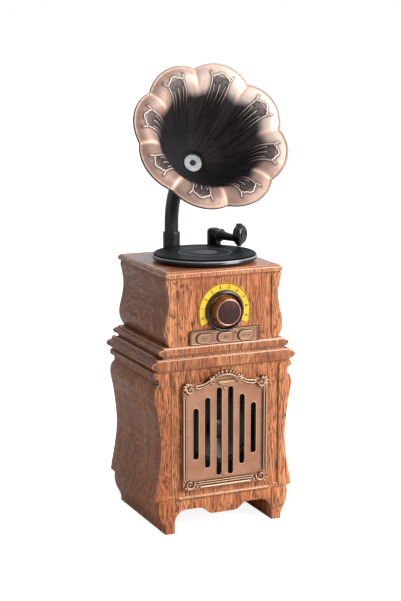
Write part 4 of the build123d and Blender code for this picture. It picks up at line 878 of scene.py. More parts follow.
def petal_lines():
    """Raised lines of one petal as (mm to the side of its middle, radius, width): a waved top line
    between two corners, a spur at each corner, long side lines, a middle line and two short ones."""
    corner_x, corner_r = 5.9, 40.0
    half = [(1.0, 42.9), (2.2, 42.2), (3.2, 41.4), (4.4, 41.3), (4.9, 40.5), (corner_x, corner_r)]
    waves = [(-x, r) for x, r in reversed(half)] + [(0.0, 43.0)] + half
    lines = [(smooth_through(waves, 5), 0.95)]
    for side in (-1, 1):
        spur = [(side * corner_x, corner_r), (side * 6.3, 41.2), (side * 7.2, 42.8), (side * 7.7, 43.9)]
        lines.append((smooth_through(spur, 6), 0.85))
        rail = [(corner_x, corner_r), (5.5, 37.5), (5.1, 33.0), (4.7, 28.0), (4.4, 23.0), (4.1, 18.0)]
        rail = [(side * x, r) for x, r in rail]
        lines.append((smooth_through(rail, 8), 0.8))
        short = [(side * 3.9, 36.6), (side * 3.2, 34.0), (side * 2.8, 30.5), (side * 2.6, 27.0)]
        lines.append((smooth_through(short, 6), 0.55))
    lines.append((smooth_through([(0.0, 36.8), (0.0, 33.0), (0.0, 29.0), (0.0, 24.0)], 8), 0.7))
    return lines


def petal_to_bell(line, lobe):
    """Radius and angle of a petal line on one lobe: angle = the lobe's middle + side / radius."""
    mid = BELL_PHASE + BELL_STEP * (lobe + 0.5)
    return line[:, 1], mid + line[:, 0] / line[:, 1]


def bell_marks(radius, angle):
    """Patina, crevice and fold over the inside. Patina is full in the throat, reaches out inside the
    raised lines, and reaches further out on one side as painted shade. Crevice follows the raised
    lines. Fold is a painted highlight that follows the valleys and the lip."""
    off = from_crown(angle)
    near = (1 - np.abs(off) / (BELL_STEP / 2)) * radius * BELL_STEP / 2
    out = np.cos(angle)[..., None] * BELL_ACROSS + np.sin(angle)[..., None] * BELL_SIDE
    # Painted shade: on the side towards BELL_SHADED_SIDE the black patina spreads further out over the flare.
    shaded_side = ease(out @ np.array(BELL_SHADED_SIDE), 0.0, 0.9)
    limit = 31.2 + 2.6 * np.exp(-((off * radius / 8.0) ** 2)) + 1.6 * shaded_side
    throat = 1 - ease(radius, limit - 2.6, limit + 2.4 + 3.6 * shaded_side)
    side = np.abs(off * radius)
    panel = (1 - ease(side, 5.0, 6.2)) * (1 - ease(radius, 40.2, 42.2)) * 0.80
    halo = 0.40 * np.exp(-(((radius - 40.0) / 5.5) ** 2) - (side / 8.5) ** 2)
    patina = np.maximum(throat, np.maximum(panel, halo))
    points = np.concatenate([line for line, _ in petal_lines()])
    flat_x, flat_r = (off * radius).ravel(), np.broadcast_to(radius, off.shape).ravel()
    close = np.full(flat_x.shape, 9.0)
    reach = np.where((flat_r > 16) & (flat_r < 46) & (np.abs(flat_x) < 10))[0]
    gap = np.hypot(flat_x[reach, None] - points[None, :, 0], flat_r[reach, None] - points[None, :, 1])
    close[reach] = gap.min(1)
    crevice = np.exp(-((close / 1.25) ** 2)).reshape(off.shape)
    # Painted highlight: fold pales the floor of each valley, and a thin line just inside the lip, which is partly
    # rubbed as well.
    fold = np.exp(-((near / 1.4) ** 2)) * ease(radius, 31.0, 36.0)
    fold = np.maximum(fold, 0.35 * ease(radius, 46.9, 47.9))
    return patina, crevice * (1 - fold), fold


def bell_shape(around, inner_steps):
    """The bell as one closed skin: from the throat out along the inside, round the rolled lip, and
    back along the outside, which lies one wall behind the inside."""
    sizes = bpy.context.scene.loudspeaker_horn
    wall, lip = sizes.wall / MM, sizes.lip / MM
    angle = np.linspace(0, 2 * np.pi, around, endpoint=False)[:, None]
    radius = np.linspace(THROAT_R, LIP_R, inner_steps)[None, :]
    radius, angle = np.broadcast_arrays(radius, angle)
    inside = bell_place(radius, angle)
    patina, crevice, fold = bell_marks(radius, angle)
    edge = inside[:, -1]
    out = unit(edge - inside[:, -2])
    facing = unit(np.cross(out, np.roll(edge, -1, 0) - np.roll(edge, 1, 0)))
    facing = facing * np.sign(facing @ BELL_AXIS)[:, None]
    swing = np.linspace(np.radians(100), np.radians(-150), 13)[None, :, None]
    round_lip = np.cos(swing) * out[:, None] + np.sin(swing) * facing[:, None]
    roll = edge[:, None] + out[:, None] * 0.4 + lip * round_lip
    back_r = radius[:, -2::-3]
    back_a = angle[:, -2::-3]
    flat_r = np.maximum(back_r, 8.0)
    plain = bell_place(flat_r, back_a)
    outside = plain - wall * bell_normal(flat_r, back_a)
    tail = np.array([[7.2, -1.0], [6.9, -6.0], [6.0, -6.6], [5.2, -6.6], [5.2, -0.6], [7.0, -0.2]])
    ring = np.cos(angle[:, :1])[..., None] * BELL_ACROSS + np.sin(angle[:, :1])[..., None] * BELL_SIDE
    sleeve = BELL_FLOOR + tail[None, :, :1] * ring + tail[None, :, 1:] * BELL_AXIS
    skin = np.concatenate([inside, roll, outside, sleeve], 1)
    ones = np.ones((around, 1))
    parts = (inside.shape[1], roll.shape[1], outside.shape[1], sleeve.shape[1])

    def over(first, *levels):
        return np.concatenate([first] + [ones * np.full(n, v) for n, v in zip(parts[1:], levels)], 1)

    marks = {
        "patina": over(patina, 0.0, 0.6, 0.85),
        "crevice": over(crevice, 0.0, 0.0, 0.2),
        "fold": over(fold, 0.0, 0.0, 0.0),
    }
    lip_part = slice(parts[0], parts[0] + parts[1])
    # The rolled lip: its outer roll is painted dark as shade through the patina mark, and its front gets a painted
    # highlight through fold.
    shade = ease(np.arange(parts[1]), 0.0, 2.2)
    marks["patina"][:, lip_part] = shade * 0.95
    marks["fold"][:, lip_part] = 0.35 * (1 - shade)
    faces = quads(around, skin.shape[1], True, True)
    return shape(skin, faces, **{name: value.ravel() for name, value in marks.items()})


def petal_beads():
    """The raised lines on every petal. Each is a bead on the bell's face, and the long lines sink
    and thin out towards the throat."""
    made = []
    for lobe in range(BELL_LOBES):
        for line, width in petal_lines():
            radius, angle = petal_to_bell(line, lobe)
            path = bell_place(radius, angle)
            up = bell_normal(radius, angle)
            fade = 0.35 + 0.65 * ease(radius, 20.0, 36.0)
            part = bead(path, up, width * fade, 0.55 * fade, sink=0.5)
            part["marks"]["polish"] = part["marks"].pop("relief") * np.repeat(ease(radius, 26.0, 38.0), 9)
            part["marks"]["patina"] = np.repeat(1.0 - 0.65 * ease(radius, 27.0, 38.0), 9)
            part["marks"]["crevice"] = np.zeros(len(part["points"]))
            made.append(part)
    return made


# ---------------------------------------------------------------- fine beads on the mouldings


def moulding_beads():
    """Fine level beads along both sides, one on each small step between the large mouldings."""
    cornice, plinth, side = high("cornice"), high("plinth"), high("lower_side_right")
    neck = cornice[2] + (low("plinth")[2] - cornice[2]) / 2
    steps = (
        (side[0] - 0.2, low("cornice")[2] - 0.75, 0.8),
        (cornice[0] - 3.6, cornice[2] - 0.45, 0.9),
        (plinth[0] - 3.2, neck + 0.5, 0.8),
        (plinth[0] - 3.4, neck - 1.0, 0.7),
        (plinth[0] - 3.5, plinth[2] - 0.4, 0.8),
    )
    made = []
    for reach, z, size in steps:
        for sense in (-1, 1):
            y = np.linspace(low("cornice")[1] + 2.4, high("cornice")[1] - 1.0, 30)
            path = np.stack([np.full(30, sense * reach), y, np.full(30, z)], -1)
            part = bead(path, (sense, 0, 0), size, 0.55, sink=1.2)
            # Each bead's crown takes the edge mark, which the veneer paints pale where it looks up: partly wear,
            # partly a painted highlight.
            part["marks"]["edge"] = part["marks"].pop("relief") * 0.8
            made.append(part)
    return made


# ---------------------------------------------------------------- ornament on the grille


def grille_side_rails():
    """Two upright beads down each side of the plaque, the outer one broad and the inner one fine."""
    made = []
    bottom, top = PLAQUE_BOTTOM + 5.0, SHOULDER_Z - 5.5
    z = np.linspace(bottom, top, 30)
    for side in (-1, 1):
        for out, width, height in ((PLAQUE_HALF - 0.75, 1.3, 0.7), (PLAQUE_HALF - 2.45, 0.9, 0.55)):
            line = np.stack([np.full(30, side * out), z], -1)
            made.append(flat_bead(line, FRAME_Y, width, height, outline=0.3))
    return made


def grille_foot_rails():
    """Three level beads along the foot: a broad bright one at the bottom and two fine ones above."""
    made = []
    for lift, half, width, height in ((1.5, 19.0, 1.7, 0.95), (3.4, 21.0, 0.8, 0.6), (4.8, 21.5, 0.7, 0.5)):
        x = np.linspace(-half, half, 50)
        line = np.stack([x, np.full(50, PLAQUE_BOTTOM + lift)], -1)
        made.append(flat_bead(line, FRAME_Y, width, height, outline=0.3))
    return made


def leaf_blade(x, z, heading, length, width, bend):
    """A fat leaf: a bead that swells to its middle and narrows to a point, curving by the bend."""
    t = np.linspace(0, 1, 12)
    a = np.radians(heading + bend * t)
    step = length / 11 * np.stack([np.cos(a), np.sin(a)], -1)
    line = np.array([x, z]) + np.concatenate([[[0.0, 0.0]], np.cumsum(step[:-1], 0)])
    fat = width * np.sin(np.pi * (0.18 + 0.8 * t))
    return flat_bead(line, FRAME_Y, fat, 0.55 + 0.9 * np.sin(np.pi * t), sink=1.4, outline=0.3)


def corner_scroll(side, cz, reach, sense):
    """A leafy corner: a spiral with a boss, and fat overlapping leaves that lean towards the outer
    corner, with dark dots between them."""
    cx = side * (PLAQUE_HALF - 4.8)
    start = 90 - sense * 60 if side > 0 else 90 + sense * 60
    turn = -side * sense
    size = reach * (0.6 if sense > 0 else 0.86)
    outer = spiral(cx, cz, size, size * 0.3, start, 1.2 * turn, 40)
    made = [flat_bead(outer, FRAME_Y, np.linspace(1.7, 0.8, 40), 1.35, sink=1.4, outline=0.35)]
    made.append(dome(cx, FRAME_Y, cz, reach * 0.2, 1.6, steps=16))
    outwards = 90 * sense - side * sense * 45
    leaves = ((-8, 3.0, 2.0), (24, 2.4, 1.6))
    if sense > 0:
        leaves = ((-62, 3.6, 2.0), (-28, 4.2, 2.3), (8, 4.0, 2.4), (40, 3.4, 2.0))
    for step, length, width in leaves:
        a = np.radians(outwards + step * 1.1)
        x, z = cx + np.cos(a) * size * 0.8, cz + np.sin(a) * size * 0.8
        made.append(leaf_blade(x, z, outwards + 0.5 * step, length * reach / 4.4, width, 35 * turn))
        # Painted shade: a small dome coloured dark stands for the deep hole between two leaves.
        b = a + np.radians(17)
        spot = (cx + np.cos(b) * (size + 1.3), cz + np.sin(b) * (size + 1.3))
        made.append(dome(spot[0], FRAME_Y, spot[1], 0.45, 0.5, relief=-1.0, steps=12))
    return made


def corner_tail(side, top):
    """A beaded knot of small bosses near a corner scroll, and at the top corners two beads that run from the
    scroll towards the middle.
    """
    made = []
    if top:
        for drop, width in ((0.0, 1.25), (-1.75, 1.0)):
            line = [(22.0, -1.2), (18.5, -1.4), (14.5, -0.6), (11.5, 1.0), (9.0, 3.0)]
            line = [(side * x, SHOULDER_Z + z + drop) for x, z in line]
            made.append(flat_bead(smooth_through(line, 8), FRAME_Y, width, 0.95, sink=1.3, outline=0.35))
        knots = ((20.6, SHOULDER_Z - 2.6, 0.9), (18.6, SHOULDER_Z - 3.4, 0.6), (22.4, SHOULDER_Z - 3.4, 0.7))
    else:
        knots = (
            (19.9, PLAQUE_BOTTOM + 2.3, 1.0),
            (18.0, PLAQUE_BOTTOM + 2.0, 0.65),
            (21.4, PLAQUE_BOTTOM + 4.6, 0.7),
        )
    for x, z, r in knots:
        made.append(dome(side * x, FRAME_Y, z, r, 1.2, steps=14))
    return made


def crest_shell():
    """The crest: a row of leaning leaves along the top of an arch, a smooth band under them, a rope,
    a cartouche with a pale border below, and a curl at each end. The arch is half an ellipse."""
    cz = SHOULDER_Z - 0.2
    made = []

    def arch(a, half, rise):
        a = np.radians(a)
        return np.stack([half * np.cos(a), cz + rise * np.sin(a)], -1)

    for a in np.linspace(8, 172, 13):
        x, z = arch(a, 9.2, 5.2)
        lean = 90 + (a - 90) * 0.75 + (24 if a > 90 else -24 if a < 90 else 0)
        made.append(leaf_blade(x, z, lean, 2.7, 1.75, 0))
    sweep = np.linspace(2, 178, 44)
    made.append(flat_bead(arch(sweep, 8.3, 4.4), FRAME_Y, 1.7, 1.0, sink=1.4, relief=0.7, outline=0.3))
    for x, z in arch(np.linspace(6, 174, 13), 7.0, 3.2):
        made.append(leaf_blade(x - 0.55, z - 0.35, 35, 1.5, 1.1, 0))
    t = np.linspace(-1, 1, 31)
    bulge = 2.9 * np.sqrt(np.maximum(1 - t**2, 0.02))
    belly = np.stack([6.2 * t, cz + 0.2 - 0.9 * (1 - t**2)], -1)
    made.append(flat_bead(belly, FRAME_Y, bulge, 1.1, sink=1.4, relief=0.75, outline=0.4))
    for lift in (-1.5, 1.2):
        border = np.stack([6.4 * t, cz + 0.2 + (lift - 0.9) * (1 - t**2)], -1)
        made.append(flat_bead(border, FRAME_Y, 0.85, 1.5, sink=1.4, outline=0.3))
    for side in (-1, 1):
        curl = spiral(side * 8.9, cz + 0.5, 2.0, 0.5, 90 + 40 * side, -side * 1.25, 28)
        made.append(flat_bead(curl, FRAME_Y, np.linspace(1.4, 0.8, 28), 1.35, sink=1.4, outline=0.3))
        made.append(dome(side * 8.9, FRAME_Y, cz + 0.5, 0.5, 1.5, steps=14))
        made.append(leaf_blade(side * 9.6, cz + 1.9, 90 - side * 60, 2.6, 1.6, side * 40))
    return made


def slot_leaves():
    """A small three-pointed leaf between the long slots, at the top and at the bottom."""
    made = []
    for z, sense in ((92.0, -1), (36.2, 1)):
        for lean in (-40, 0, 40):
            a = np.radians(90 + lean) if sense > 0 else np.radians(-90 + lean)
            direction = np.array([np.cos(a), np.sin(a)])
            base = np.array([0.0, z - sense * 1.2])
            line = base + direction * np.linspace(0, 3.0 if lean == 0 else 2.3, 7)[:, None]
            made.append(flat_bead(line, PLAQUE_Y, 1.15, 0.7, sink=0.3, relief=1.0, outline=0.2))
    return made


def slot_rims():
    """A fine pale bead round the mouth of each slot, its pale crown partly rubbed casting and partly a painted
    highlight of the slot's edge.
    """
    made = []
    for x, length in ((4.03, 58.0), (12.08, 46.4), (20.13, 33.8)):
        for side in (-1, 1):
            line = rounded_box_line(side * x, 64.3, 2.2, length / 2 + 0.25, 2.19, 9)
            made.append(flat_bead(line, PLAQUE_Y, 0.62, 0.22, sink=0.1, closed=True, relief=1.0))
    return made


# ---------------------------------------------------------------- dial, buttons and text


def arc_line(radius, start, end, steps=60):
    """An arc round the dial as (x, z), with its angles measured from straight up."""
    a = np.radians(np.linspace(start, end, steps))
    return np.stack([DIAL_CENTRE[0] + radius * np.sin(a), DIAL_CENTRE[1] + radius * np.cos(a)], -1)


def dial_marks():
    """Two fine rings round the scale, a tick at each step, and a dot half way between."""
    sizes = bpy.context.scene.loudspeaker_dial
    y = low("dial_plate")[1]
    sweep = DIAL_SWEEP
    rings = (high("dial_plate")[0] - 0.4, 13.3)
    made = [flat_bead(arc_line(r, -sweep, sweep), y, 0.5, 0.06, sink=0.05, relief=0) for r in rings]
    steps = sizes.steps
    for i, a in enumerate(np.linspace(-sweep + 8, sweep - 8, 2 * steps - 1)):
        inner, outer = (16.5, 17.3) if i % 2 == 0 else (16.95, 17.3)
        spoke = np.array([np.sin(np.radians(a)), np.cos(np.radians(a))])
        line = DIAL_CENTRE + spoke * np.linspace(inner, outer, 6)[:, None]
        made.append(flat_bead(line, y, 0.36, 0.05, sink=0.05, relief=0))
    return made


def numerals():
    """The numbers 0 to 9 round the scale, upright, as one mesh. Text is made a mesh first, and then
    its points are turned to look forward and moved to their place."""
    sizes = bpy.context.scene.loudspeaker_dial
    y = low("dial_plate")[1]
    size = sizes.numeral / MM
    points, faces, start = [], [], 0
    for i, a in enumerate(np.radians(np.linspace(-NUMERAL_SWEEP, NUMERAL_SWEEP, sizes.steps))):
        curve = bpy.data.curves.new("numeral", "FONT")
        curve.body = str(i)
        curve.size = size
        curve.extrude = 0.05
        curve.offset = 0.07
        curve.resolution_u = 3
        curve.align_x = "CENTER"
        curve.align_y = "CENTER"
        holder = placed("numeral", curve)
        bpy.context.view_layer.update()
        made = bpy.data.meshes.new_from_object(holder.evaluated_get(bpy.context.evaluated_depsgraph_get()))
        flat = np.array([v.co[:] for v in made.vertices])
        turn = np.array([[np.cos(-a), -np.sin(-a)], [np.sin(-a), np.cos(-a)]])
        spun = flat[:, :2] @ turn.T
        x = DIAL_CENTRE[0] + NUMERAL_R * np.sin(a) + spun[:, 0]
        z = DIAL_CENTRE[1] + NUMERAL_R * np.cos(a) + spun[:, 1]
        points.append(np.stack([x, y + 0.02 - flat[:, 2], z], -1))
        faces += [[start + v for v in p.vertices] for p in made.polygons]
        start += len(flat)
        bpy.data.objects.remove(holder)
        bpy.data.meshes.remove(made)
        bpy.data.curves.remove(curve)
    mesh = bpy.data.meshes.new("dial_numerals")
    mesh.from_pydata((np.concatenate(points) * MM).tolist(), [], faces)
    work = bmesh.new()
    work.from_mesh(mesh)
    bmesh.ops.remove_doubles(work, verts=work.verts, dist=1e-7)
    bmesh.ops.recalc_face_normals(work, faces=work.faces)
    work.to_mesh(mesh)
    work.free()
    return mesh


BUTTON_FLANGE = 0.65
FOOT_INSET = 0.7


def button_outline(node):
    """Middle (x, z) and half sizes of the part of a button that shows, without its hidden flange."""
    lo, hi = low(node), high(node)
    middle_x, middle_z = (lo[0] + hi[0]) / 2, (lo[2] + hi[2]) / 2
    return middle_x, middle_z, (hi[0] - lo[0]) / 2 - BUTTON_FLANGE, (hi[2] - lo[2]) / 2 - BUTTON_FLANGE


def plate_border():
    """Two stepped beads round the button plate with dark lines between, and a dark groove round each
    button. The dark lines and grooves are painted shade, and the pale beads are partly rubbed casting
    and partly painted highlight. Along the foot every line keeps outside the buttons, so that a
    pressed one clears it."""
    lo, hi = low("button_plate"), high("button_plate")
    cx, cz = (lo[0] + hi[0]) / 2, (lo[2] + hi[2]) / 2
    half_x, half_z = (hi[0] - lo[0]) / 2, (hi[2] - lo[2]) / 2
    made = []
    steps = ((0.05, 0.7, 0.1, -1.0), (0.55, 0.45, 0.4, 0.95), (0.95, 0.35, 0.1, -1.0), (1.3, 0.35, 0.2, 0.85))
    for inset, width, height, glow in steps:
        under = min(inset, FOOT_INSET)
        middle_z, reach = cz - (inset - under) / 2, half_z - (inset + under) / 2
        line = rounded_box_line(cx, middle_z, half_x - inset, reach, 1.6)
        made.append(flat_bead(line, lo[1], width, height, closed=True, relief=glow))
    for kind in ("left", "middle", "right"):
        x, z, wide, tall = button_outline("button_" + kind)
        groove = rounded_box_line(x, z, wide + 0.28, tall + 0.28, tall + 0.23, 12)
        made.append(flat_bead(groove, lo[1], 0.4, 0.12, closed=True, relief=-1.0))
    return made


def icon_lines(kind, cx, cz):
    """Strokes of a small plain sign: an arrow and a bar, a triangle and a bar, or three bars and a V."""
    bars = {
        "left": [[(-1.6, 0.0), (-0.5, 0.9)], [(-1.6, 0.0), (-0.5, -0.9)], [(0.4, 0.0), (1.6, 0.0)]],
        "middle": [
            [(-1.2, -0.9), (-1.2, 0.9)],
            [(-1.2, 0.9), (0.6, 0.0)],
            [(-1.2, -0.9), (0.6, 0.0)],
            [(1.3, -0.8), (1.3, 0.8)],
        ],
        "right": [
            [(-2.6, -0.8), (-2.6, 0.8)],
            [(-1.7, -0.8), (-1.7, 0.8)],
            [(-0.8, -0.8), (-0.8, 0.8)],
            [(0.8, 0.8), (1.7, -0.8)],
            [(1.7, -0.8), (2.6, 0.8)],
        ],
    }[kind]
    made = []
    for (x0, z0), (x1, z1) in bars:
        t = np.linspace(0, 1, 7)[:, None]
        line = np.array([[cx + x0, cz + z0]]) * (1 - t) + np.array([[cx + x1, cz + z1]]) * t
        made.append(line)
    return made


# ---------------------------------------------------------------- settings that a user would change


def tone(name, description, *screen):
    """A colour setting, given in screen steps from 0 to 255."""
    return FloatVectorProperty(
        name=name, description=description, subtype="COLOR", size=4, default=colour(*screen), max=1
    )


def length(name, description, metres):
    """A length setting."""
    return FloatProperty(name=name, description=description, unit="LENGTH", default=metres, precision=5)


class WoodSettings(bpy.types.PropertyGroup):
    pale: tone("Pale Figure", "Lightest wood", 246, 160, 104)
    body: tone("Body", "Main stained colour", 216, 124, 72)
    dark: tone("Streaks", "Dark streaks and pores", 58, 26, 14)
    # The worn corner tone is partly rubbed wear and partly a painted highlight on corners that look up.
    worn: tone("Worn Corner", "Rubbed corners", 255, 214, 178)
    ease: FloatProperty(
        name="Corner",
        description="How far board corners are eased",
        unit="LENGTH",
        default=0.00045,
        min=0.0,
        precision=5,
    )


class GrilleSettings(bpy.types.PropertyGroup):
    main: tone("Bronze", "Flat parts", 172, 117, 87)
    plate: tone("Button Plate", "Darker bronze", 166, 118, 92)
    raised: tone("Rubbed", "High places", 224, 184, 150)
    # The hollows tone also colours the painted shadow outlines, grooves and dots on the castings.
    deep: tone("Hollows", "Dark hollows", 48, 28, 20)


class HornSettings(bpy.types.PropertyGroup):
    copper: tone("Copper", "Clean flare", 192, 158, 142)
    shade: tone("Shaded Copper", "Darker copper", 128, 98, 86)
    black: tone("Black Patina", "Throat and hollows", 34, 30, 33)
    # The throat sheen tone is a painted reflection laid over the black patina.
    sheen: tone("Throat Sheen", "Brown streaks in the throat", 92, 80, 80)
    # The rubbed copper tone is rubbed wear on the raised lines, and also the painted highlight towards the lit
    # side of the flare.
    rubbed: tone("Rubbed Copper", "Raised lines and lip", 250, 226, 212)
    # The fold tone is a painted highlight along the valleys, and on the lip partly rubbed copper as well.
    fold: tone("Fold", "Folds between petals", 250, 208, 184)
    swell: length("Petal Swell", "How far each petal stands up", 0.0022)
    valley: length("Valley Depth", "Depth of the fold between petals", 0.0005)
    wall: length("Wall", "Sheet thickness", 0.0011)
    lip: length("Lip Radius", "Radius of the rolled lip", 0.0009)


class DialSettings(bpy.types.PropertyGroup):
    steps: IntProperty(name="Steps", description="How many numbers the scale has", default=10, min=2, max=10)
    numeral: length("Numeral Size", "Height of the numbers", 0.0029)


class StageSettings(bpy.types.PropertyGroup):
    key: FloatProperty(name="Key Light", description="Power of the large front light", unit="POWER", default=20.0)
    fill: FloatProperty(name="Fill Light", description="Power of the weak side light", unit="POWER", default=0.3)
    sky: FloatProperty(name="Surround", description="Brightness of the soft surround", default=0.30)
    backdrop: FloatProperty(name="Backdrop", description="Brightness of the wall behind", default=0.45)
    floor_glow: FloatProperty(name="Floor Glow", description="How far the floor is lifted to white", default=0.88)
    lens: FloatProperty(name="Lens", description="Camera lens in mm", default=90.75)


# ---------------------------------------------------------------- one operator for each group of pieces


class LOUDSPEAKER_OT_cabinet(bpy.types.Operator):
    """Eases the corners of the veneered boards and gives them their figure"""

    bl_idname = "loudspeaker.cabinet"
    bl_label = "Cabinet Boards"

    def execute(self, context):
        width = context.scene.loudspeaker_wood.ease
        boards = {
            "wood_upright": (
                "base_skirt", "front_apron", "lower_front_panel",
                "lower_back_panel", "upper_front_panel", "upper_back_panel",
            ),
            "wood_side": ("lower_side_left", "lower_side_right"),
            "wood_pilaster": ("lower_pilasters", "upper_pilasters"),
            "wood_arched": ("upper_side_left", "upper_side_right"),
        }
        for finish, nodes in boards.items():
            for node in nodes:
                eased_copy(node + "_veneer", node, "cabinet", material(finish), width)
        finish_nodes(material("wood_upright"), "bottom_board")
        finish_nodes(material("steel"), "bottom_screws", "back_screws")
        return {"FINISHED"}


class LOUDSPEAKER_OT_mouldings(bpy.types.Operator):
    """Eases the corners of the stepped mouldings and the deck"""

    bl_idname = "loudspeaker.mouldings"
    bl_label = "Mouldings and Deck"

    def execute(self, context):
        width = context.scene.loudspeaker_wood.ease
        for node in ("cornice", "plinth"):
            eased_copy(node + "_veneer", node, "cabinet", material("wood_moulding"), 1.3 * width)
        eased_copy("deck_veneer", "deck", "cabinet", material("wood_deck"), width)
        add_piece("moulding_fine_beads", moulding_beads(), "cabinet", material("wood_moulding"))
        return {"FINISHED"}


class LOUDSPEAKER_OT_grille(bpy.types.Operator):
    """Casts the scrolls, rails, shell and leaves on the grille"""

    bl_idname = "loudspeaker.grille"
    bl_label = "Grille Ornament"

    def execute(self, context):
        finish_nodes(material("bronze"), "grille_plaque", "grille_frame")
        groups = {
            "grille_side_rails": grille_side_rails(),
            "grille_foot_rails": grille_foot_rails(),
            "grille_crest": crest_shell(),
            "grille_leaves": slot_leaves(),
            "grille_slot_rims": slot_rims(),
        }
        corners = []
        for side in (-1, 1):
            corners += corner_scroll(side, SHOULDER_Z - 3.6, 4.2, 1)
            corners += corner_scroll(side, PLAQUE_BOTTOM + 3.9, 3.9, -1)
            corners += corner_tail(side, True) + corner_tail(side, False)
        groups["grille_scrolls"] = corners
        for name, shapes in groups.items():
            add_piece(name, shapes, "cabinet", material("bronze"), sharp=60)
        return {"FINISHED"}


class LOUDSPEAKER_OT_driver(bpy.types.Operator):
    """Finishes the drive unit and the parts inside the cabinet"""

    bl_idname = "loudspeaker.driver"
    bl_label = "Drive Unit and Electrics"

    def execute(self, context):
        for finish, nodes in {
            "dark_steel": ("driver_basket",),
            "ferrite": ("driver_magnet",),
            "rubber": ("driver_surround", "tact_switches", "power_slider"),
            "cone_paper": ("driver_cone",),
            "satin_black": ("dust_cap", "baffle_board", "aux_socket", "power_switch"),
            "steel": ("driver_screws", "charge_socket", "axle_clip", "potentiometer", "knob_shaft"),
            "wrap": ("battery",),
            "board": ("amp_board", "switch_board"),
            "brass": ("axle_bush",),
        }.items():
            finish_nodes(material(finish), *nodes)
        return {"FINISHED"}


# Profiles as (radius, distance in front of the cabinet's middle).
BEZEL = [
    (10.6, 38.9), (12.9, 38.9), (12.95, 39.9), (12.85, 40.7), (12.55, 41.25), (12.1, 41.5),
    (11.65, 41.4), (11.3, 41.0), (11.05, 40.4), (10.9, 39.9), (10.6, 39.7),
]
KNOB_SKIRT = [(0, 40.6), (9.75, 40.6), (9.8, 40.9), (9.6, 41.6), (9.2, 43.2), (8.75, 44.5), (8.6, 44.7), (0, 44.7)]
CAP_RIM = [
    (7.5, 44.7), (8.5, 44.7), (8.65, 44.9), (8.65, 45.7), (8.45, 46.05), (8.1, 46.2), (7.7, 46.15), (7.5, 45.85)
]
CAP_FACE = [(0, 44.75), (7.6, 44.75), (7.6, 45.7), (7.3, 45.8), (0, 45.95)]


class LOUDSPEAKER_OT_dial(bpy.types.Operator):
    """Prints the yellow scale and turns the bezel, skirt and cap of the knob"""

    bl_idname = "loudspeaker.dial"
    bl_label = "Dial and Knob"

    def execute(self, context):
        finish_nodes(material("yellow"), "dial_plate")
        add_piece("dial_scale", dial_marks(), "cabinet", material("dial_ink"))
        mesh = numerals()
        mesh.materials.append(material("dial_ink"))
        dress(placed("dial_numerals", mesh), "cabinet")
        centre = (DIAL_CENTRE[0], 0.0, DIAL_CENTRE[1])
        for name, profile, body, slot, finish, stands_for, loop in (
            ("knob_bezel_turned", BEZEL, "cabinet", "black_gloss", "bezel_black", ("knob_bezel",), True),
            ("knob_skirt_turned", KNOB_SKIRT, "knob", "amber_gloss", "amber", ("knob_skirt",), False),
            ("knob_cap_rim", CAP_RIM, "knob", "copper_antique", "copper_rim", (), True),
            ("knob_cap_face", CAP_FACE, "knob", "copper_antique", "copper_cap", ("knob_cap",), False),
        ):
            turned_piece(name, profile, centre, FRONT, body, finish, stands_for, 128, loop)
        return {"FINISHED"}


class LOUDSPEAKER_OT_buttons(bpy.types.Operator):
    """Casts the stepped border of the button plate and the signs on the three buttons"""

    bl_idname = "loudspeaker.buttons"
    bl_label = "Button Plate"

    def execute(self, context):
        finish_nodes(material("bronze_plate"), "button_plate")
        finish_nodes(material("dark_lens"), "led_lens")
        add_piece("button_plate_border", plate_border(), "cabinet", material("bronze_plate"))
        for kind in ("left", "middle", "right"):
            node = "button_" + kind
            lo = low(node)
            cx, cz, half_x, half_z = button_outline(node)
            finish_nodes(material("bronze_plate"), node)
            line = rounded_box_line(cx, cz, half_x - 0.5, half_z - 0.5, half_z - 0.55, 12)
            # The pale ring round each button is partly rubbed casting and partly a painted highlight of its
            # rounded edge.
            edge = [flat_bead(line, lo[1], 0.55, 0.3, closed=True, relief=0.9)]
            body = kind + "_button"
            add_piece(node + "_edge", edge, body, material("bronze_plate"))
            signs = [flat_bead(stroke, lo[1], 0.5, 0.1, relief=0) for stroke in icon_lines(kind, cx, cz)]
            add_piece(node + "_sign", signs, body, material("engraved"))
        return {"FINISHED"}


